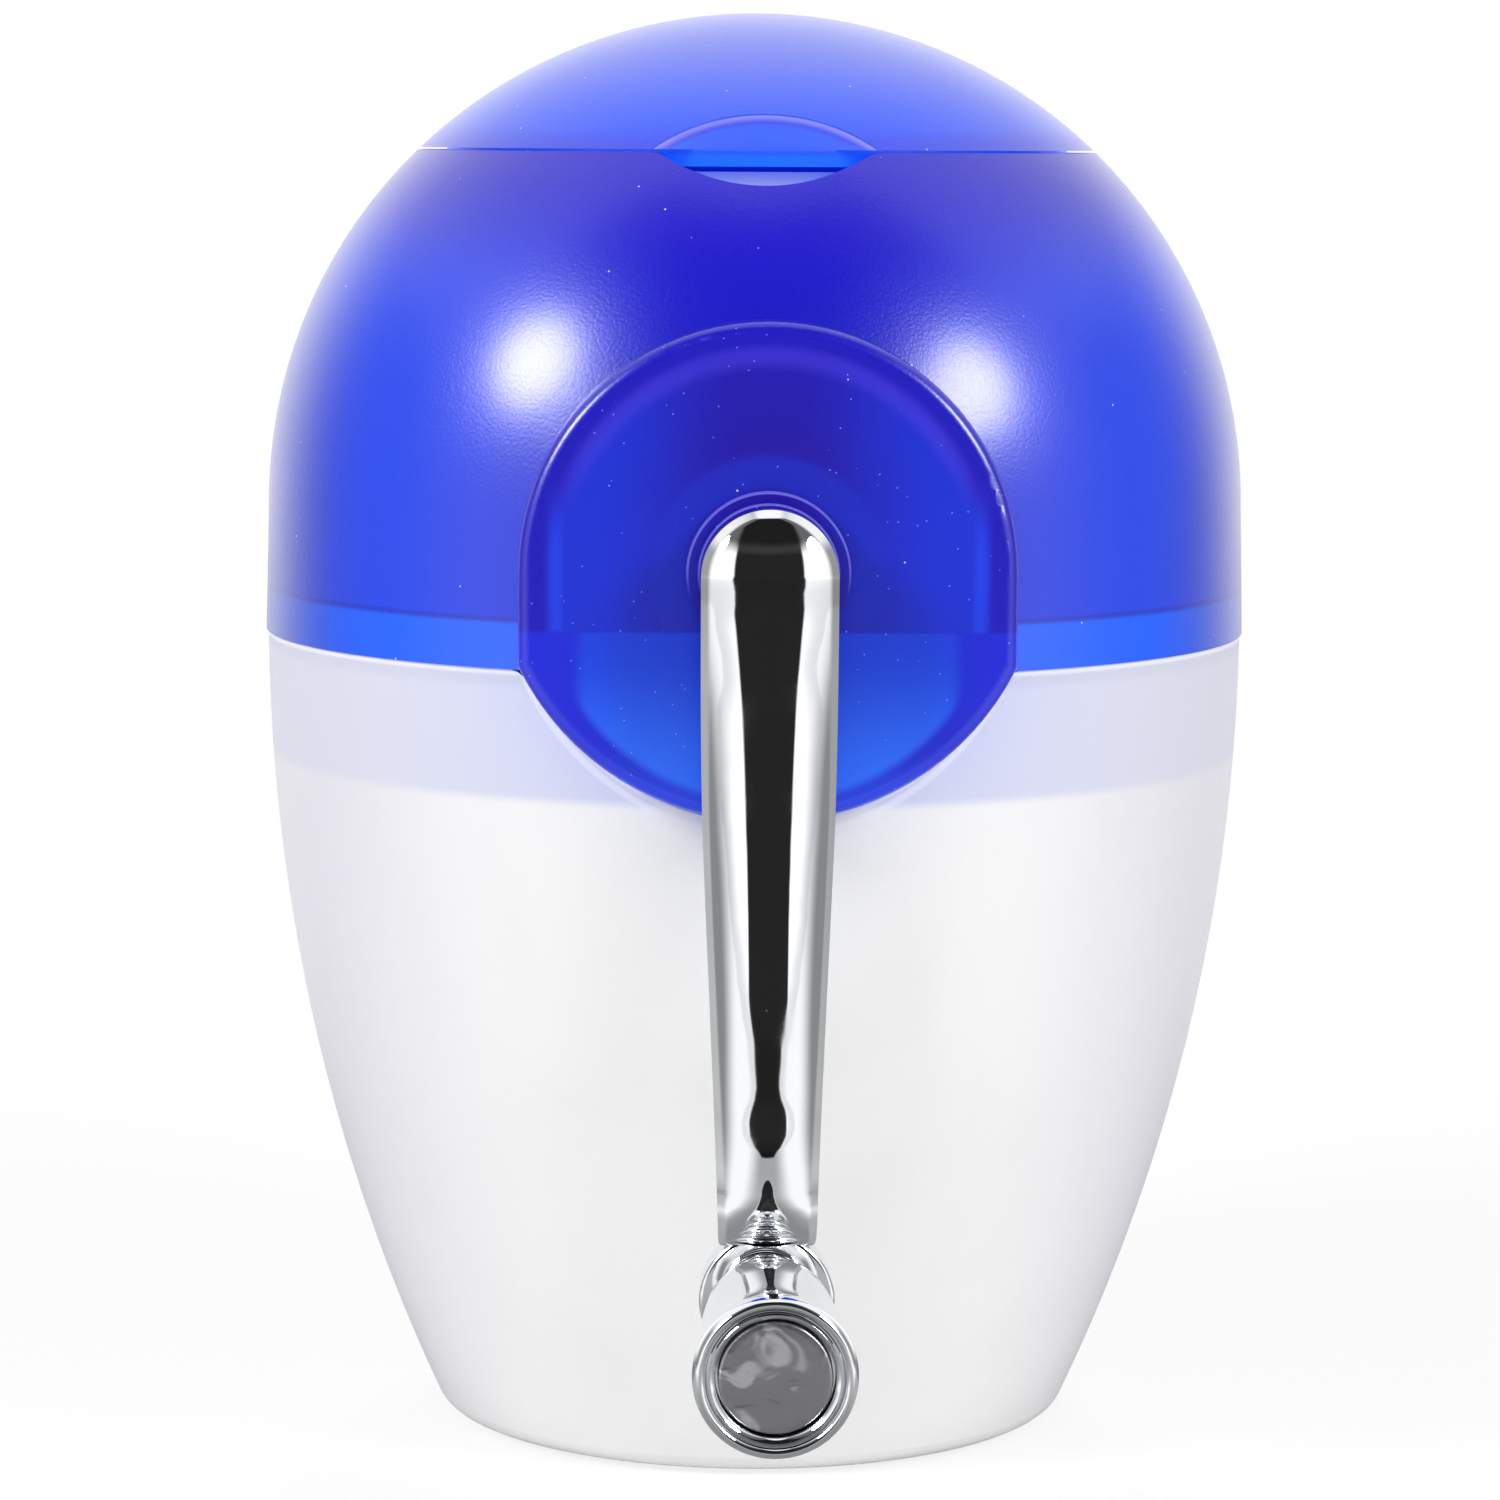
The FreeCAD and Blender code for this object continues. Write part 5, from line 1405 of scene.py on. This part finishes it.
@dataclass
class Crank:
    """The plated pieces in front of the boss.

    Attributes:
        arm: Arm, on the crank.
        knob: Knob, on the grip.
        plug: Its end plug.
    """

    arm: Arm = field(default_factory=Arm)
    knob: Knob = field(default_factory=Knob)
    plug: Plug = field(default_factory=Plug)

    def build(self, materials: dict[Slot, bpy.types.Material]) -> None:
        """Build the pieces and hang them on the crank and the grip.

        Args:
            materials: Finished materials by slot.
        """
        plans = ((self.arm, "crank", "crank_arm", Slot.CHROME),
                 (self.knob, "grip", "knob", Slot.CHROME),
                 (self.plug, "grip", "knob_end_plug", Slot.PLUG))
        for maker, body, node, slot in plans:
            piece = maker.build()
            piece.data.materials.append(materials[slot])
            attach(piece, body)
            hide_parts(node)
            LOG.info("%s stands for %s on %s", piece.name, node, body)


# ---------------------------------------------------------------- carried-over nodes

@dataclass
class Castings:
    """CAD nodes that keep their shape and get a finish.

    Attributes:
        special: Finishes of single nodes that differ from their slot's.
    """

    special: dict[str, Finish] = field(default_factory=lambda: {"lid": LID_FINISH})

    def dress(self, nodes: dict[str, bpy.types.Object], record: dict,
              materials: dict[Slot, bpy.types.Material], effects: Effects) -> None:
        """Give every node the material of its slot.

        Args:
            nodes: CAD objects by node name.
            record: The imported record.
            materials: Finished materials by slot.
            effects: Shared node groups.
        """
        for row in record["subparts"]:
            name = row["node"]
            own = self.special.get(name)
            chosen = own.build(effects) if own else materials[Slot(row["material_slot"])]
            for place in nodes[name].material_slots:
                place.material = chosen
            LOG.info("%s dressed in %s", name, chosen.name)


# ---------------------------------------------------------------- studio

@dataclass
class Room:
    """What polished surfaces see round the studio: dark front, white boxes, pale back.

    Attributes:
        front: Half angle of the dark front, in degrees.
        dark: Level of the front.
        bright: Level of the boxes beside it.
        edge: Angle over which a box comes in, in degrees.
        sides: Angles from the front where the boxes end, in degrees.
        back: Angles from the front where the back comes in, in degrees.
        dimming: How much darker the sides are than the boxes, and the back brighter again.
    """

    front: float = 36.0
    dark: float = 0.02
    bright: float = 1.2
    edge: float = 3.0
    sides: Span = (58.0, 96.0)
    back: Span = (112.0, 150.0)
    dimming: float = 0.9

    def level(self, tree: NodeTree, bearing: Socket, front: object) -> Socket:
        """Light from one direction.

        Args:
            tree: Nodes of the world or the floor.
            bearing: Angle from straight in front, in radians.
            front: Half angle of the dark front as it is seen from there, in radians.

        Returns:
            The level.
        """
        past = tree.maths("SUBTRACT", bearing, front)
        boxes = tree.ramp_degrees(past, (0.0, self.edge), self.dark, self.bright)
        beside = tree.ramp_degrees(bearing, self.sides, 0.0, -self.dimming)
        behind = tree.ramp_degrees(bearing, self.back, 0.0, self.dimming)
        return tree.maths("ADD", tree.maths("ADD", boxes, beside), behind)


@dataclass
class Floor:
    """Pale round floor that keeps the object's shadow and shows the room to the chrome.

    Distances from the body axis are in metres.

    Attributes:
        radius: Radius in mm.
        colour: Linear colour where it is matt.
        shine: Distances over which it turns from matt to evenly lit.
        matt_share: Evenly lit share near the object.
        front: Distances over which the room's dark front widens on it.
        near_front: Half angle of the dark front near the object, in degrees.
        sheet: Distances where the pale sheet under the object ends.
        sheet_angle: Angle that the sheet takes off the dark front, in radians.
        shade: Distances over which the object's own shade ends on the sheet.
        shade_level: Level in that shade.
        gap: Angles from the front where the sheet's middle ends, in degrees.
        gap_levels: Level in the middle of the sheet and beside it.
        beyond: Distances over which the floor past the sheet brightens.
        beyond_levels: Its levels.
        joint: Distances where the sheet gives way to the floor past it.
    """

    radius: float = 6000.0
    colour: Colour = (0.86, 0.86, 0.87)
    shine: Span = (0.12, 0.5)
    matt_share: float = 0.82
    front: Span = (0.90, 1.9)
    near_front: float = 10.0
    sheet: Span = (0.90, 0.97)
    sheet_angle: float = 1.2
    shade: Span = (0.16, 0.34)
    shade_level: float = 0.3
    gap: Span = (10.0, 40.0)
    gap_levels: Span = (0.36, 0.92)
    beyond: Span = (1.25, 2.45)
    beyond_levels: Span = (0.72, 1.04)
    joint: Span = (1.2, 1.28)

    def build(self, room: Room, effects: Effects) -> None:
        """Lay the floor.

        Args:
            room: What polished surfaces see.
            effects: Shared node groups.
        """
        bm = bmesh.new()
        bmesh.ops.create_circle(bm, cap_ends=True, segments=96, radius=self.radius)
        floor = finished("floor", bm)
        tree = MaterialTree("pale_floor", effects)
        tree.shade(Base_Color=(*self.colour, 1.0), Roughness=0.9, Specular_IOR_Level=0.0)
        path = tree.add("LightPath").outputs
        glossy = path["Is Glossy Ray"]
        seen = tree.highest(path["Is Camera Ray"], path["Is Transmission Ray"], glossy)
        at = tree.parts(tree.place())
        reach = tree.length(at.x, at.y)
        share = tree.product(seen, tree.ramp(reach, self.shine, self.matt_share, 1.0))
        level = self.mirrored_level(tree, room, at, reach)
        lack = tree.product(glossy, tree.flip(level))
        glow = tree.add("Emission", Strength=tree.flip(lack))
        mixed = tree.add("MixShader")
        for socket, value in zip(mixed.inputs, (share, tree.shader.outputs[0], glow.outputs[0])):
            tree.feed(socket, value)
        tree.feed(tree.tree.nodes["Material Output"].inputs["Surface"], mixed.outputs[0])
        floor.data.materials.append(tree.material)
        LOG.info("floor is stage")

    def mirrored_level(self, tree: NodeTree, room: Room, at: Where, reach: Socket) -> Socket:
        """Brightness of the floor as polished surfaces see it.

        Args:
            tree: Nodes of the floor's material.
            room: What polished surfaces see.
            at: Point of the floor.
            reach: Its distance from the body axis.

        Returns:
            The level.
        """
        front = tree.ramp(reach, self.front, math.radians(self.near_front),
                          math.radians(room.front))
        sheet = tree.ramp(reach, self.sheet, self.sheet_angle, 0.0)
        bearing = tree.front_bearing(at)
        wall = room.level(tree, bearing, tree.maths("SUBTRACT", front, sheet))
        near = tree.product(tree.ramp(reach, self.shade, self.shade_level, 1.0),
                            tree.ramp_degrees(bearing, self.gap, *self.gap_levels))
        beyond = tree.ramp(reach, self.beyond, *self.beyond_levels)
        return tree.product(tree.mix(tree.ramp(reach, self.joint), near, beyond), wall)


@dataclass
class Sky:
    """White background, with the dark front of a studio for polished surfaces.

    Attributes:
        high: Rise of a direction between low walls and high ones, as its z.
        high_wall: Angles from the front where the high wall comes in, in degrees.
        high_levels: Its levels.
        high_front: Angles from the front where its own dark front ends, in degrees.
        front_level: Level of that front.
        ceiling: Rise of a direction where the ceiling begins, as its z.
        ceiling_level: Level of the ceiling.
        soft: Angles from the front over which the soft light fades, in degrees.
        soft_levels: Levels of the soft light.
    """

    high: Span = (0.35, 0.6)
    high_wall: Span = (60.0, 86.0)
    high_levels: Span = (0.15, 1.05)
    high_front: Span = (36.0, 44.0)
    front_level: float = 0.1
    ceiling: Span = (0.955, 0.985)
    ceiling_level: float = 1.1
    soft: Span = (0.0, 120.0)
    soft_levels: Span = (0.6, 0.35)

    def build(self, room: Room) -> None:
        """Make the world.

        Args:
            room: What polished surfaces see.
        """
        world = bpy.data.worlds.new("studio")
        bpy.context.scene.world = world
        world.use_nodes = True
        tree = NodeTree(world.node_tree)
        at = tree.parts(tree.add("TexCoord").outputs["Generated"])
        bearing = tree.front_bearing(at)
        path = tree.add("LightPath").outputs
        soft = tree.product(path["Is Diffuse Ray"],
                            tree.ramp_degrees(bearing, self.soft, *self.soft_levels))
        shiny = tree.product(path["Is Glossy Ray"], self.mirrored_level(tree, room, at, bearing))
        level = tree.highest(path["Is Camera Ray"], path["Is Transmission Ray"], shiny, soft)
        back = world.node_tree.nodes["Background"]
        back.inputs["Color"].default_value = (1.0, 1.0, 1.0, 1.0)
        tree.feed(back.inputs["Strength"], level)

    def mirrored_level(self, tree: NodeTree, room: Room, at: Where, bearing: Socket) -> Socket:
        """Brightness of the room as polished surfaces see it.

        Args:
            tree: Nodes of the world.
            room: What polished surfaces see.
            at: Direction.
            bearing: Its angle from straight in front.

        Returns:
            The level.
        """
        high = tree.ramp(at.z, self.high)
        wall = tree.mix(high, room.level(tree, bearing, math.radians(room.front)),
                        tree.ramp_degrees(bearing, self.high_wall, *self.high_levels))
        front = tree.ramp_degrees(bearing, self.high_front, self.front_level, 1.0)
        wall = tree.product(wall, tree.mix(high, 1.0, front))
        return tree.mix(tree.ramp(at.z, self.ceiling), wall, self.ceiling_level)


@dataclass
class Softbox:
    """One large round lamp, placed round the object.

    Attributes:
        bearing: Degrees round from the front, positive to the right.
        height: Degrees above the object.
        distance: Distance from the object, in metres.
        width: Diameter in metres.
        power: Power in watts.
        mirrored: True where polished surfaces show it.
    """

    bearing: float
    height: float
    distance: float
    width: float
    power: float
    mirrored: bool = True

    def build(self, name: str, aim: Vector) -> None:
        """Add the lamp.

        Args:
            name: Name of the lamp.
            aim: Point that it is aimed at, in metres.
        """
        lamp = bpy.data.lights.new(name, "AREA")
        lamp.shape = "DISK"
        lamp.size = self.width
        lamp.energy = self.power
        holder = bpy.data.objects.new(name, lamp)
        bpy.context.scene.collection.objects.link(holder)
        turned, lift = math.radians(self.bearing), math.radians(self.height)
        spot = Vector((math.sin(turned) * math.cos(lift), -math.cos(turned) * math.cos(lift),
                       math.sin(lift))) * self.distance
        holder.location = aim + spot
        holder.rotation_euler = (-spot).to_track_quat("-Z", "Y").to_euler()
        holder.visible_camera = False
        holder.visible_glossy = self.mirrored


@dataclass
class Camera:
    """Camera on its stand, without depth of field.

    Attributes:
        distance: Distance before the body axis, in mm.
        height: Height over the floor, in mm.
        bearing: Angle round from the front, in degrees, negative to the left.
        pitch: Tilt down, in degrees.
        roll: Turn about its own axis, in degrees.
        aim: Turn off the body axis, in degrees.
        lens: Focal length, in mm.
        frame: Width of the frame, in mm.
    """

    distance: float = 816.7
    height: float = 210.35
    bearing: float = -1.4
    pitch: float = 7.06
    roll: float = 0.33
    aim: float = 0.04
    lens: float = 119.47
    frame: float = 36.0

    def build(self) -> None:
        """Set the camera up and make it the scene's."""
        data = bpy.data.cameras.new("camera")
        data.lens = self.lens
        data.sensor_width = self.frame
        data.clip_start = 0.01
        data.dof.use_dof = False
        camera = bpy.data.objects.new("camera", data)
        bpy.context.scene.collection.objects.link(camera)
        turned = math.radians(self.bearing)
        stand = Vector((math.sin(turned) * self.distance, -math.cos(turned) * self.distance,
                        self.height)) * MM
        facing = Euler((math.radians(90.0 - self.pitch), 0.0, turned), "XYZ")
        roll, yaw = (Matrix.Rotation(math.radians(angle), 4, "Z")
                     for angle in (self.roll, self.aim))
        camera.matrix_world = (Matrix.Translation(stand) @ yaw @ facing.to_matrix().to_4x4()
                               @ roll)
        bpy.context.scene.camera = camera


@dataclass
class Studio:
    """Floor, world, lamps and camera.

    Attributes:
        floor: Floor under the object.
        sky: World round it.
        room: What polished surfaces see of both.
        lamps: Softboxes by name.
        aim: Point that the lamps are aimed at, in metres.
        camera: Camera.
    """

    floor: Floor = field(default_factory=Floor)
    sky: Sky = field(default_factory=Sky)
    room: Room = field(default_factory=Room)
    lamps: dict[str, Softbox] = field(default_factory=lambda: {
        "left_box": Softbox(-59.0, 31.0, 1.3, 0.42, 11.5),
        "right_box": Softbox(53.0, 27.0, 1.3, 0.42, 10.0),
        "back_box": Softbox(172.0, 34.0, 1.4, 0.6, 5.5, mirrored=False),
    })
    aim: tuple[float, float, float] = (0.0, 0.0, 0.12)
    camera: Camera = field(default_factory=Camera)

    def build(self, effects: Effects) -> None:
        """Set up everything round the object.

        Args:
            effects: Shared node groups.
        """
        self.floor.build(self.room, effects)
        self.sky.build(self.room)
        for name, lamp in self.lamps.items():
            lamp.build(name, Vector(self.aim))
        self.camera.build()
        bpy.context.scene.view_settings.view_transform = "Standard"


# ---------------------------------------------------------------- run

def write_sizes() -> None:
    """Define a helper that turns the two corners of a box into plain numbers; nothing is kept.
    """
    def plain(box: object) -> list[list[float]]:
        """The two corners as plain numbers."""
        return [[float(value) for value in corner] for corner in box]


def main() -> None:
    """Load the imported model, dress it and set up the studio."""
    logging.basicConfig(level=logging.INFO, format="%(name)s: %(message)s")
    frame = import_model()
    effects = Effects()
    materials = {slot: finish.build(effects) for slot, finish in FINISHES.items()}
    Castings().dress(frame["nodes"], frame["record"], materials, effects)
    Crank().build(materials)
    Studio().build(effects)
    write_sizes()


if __name__ == "__main__":
    main()
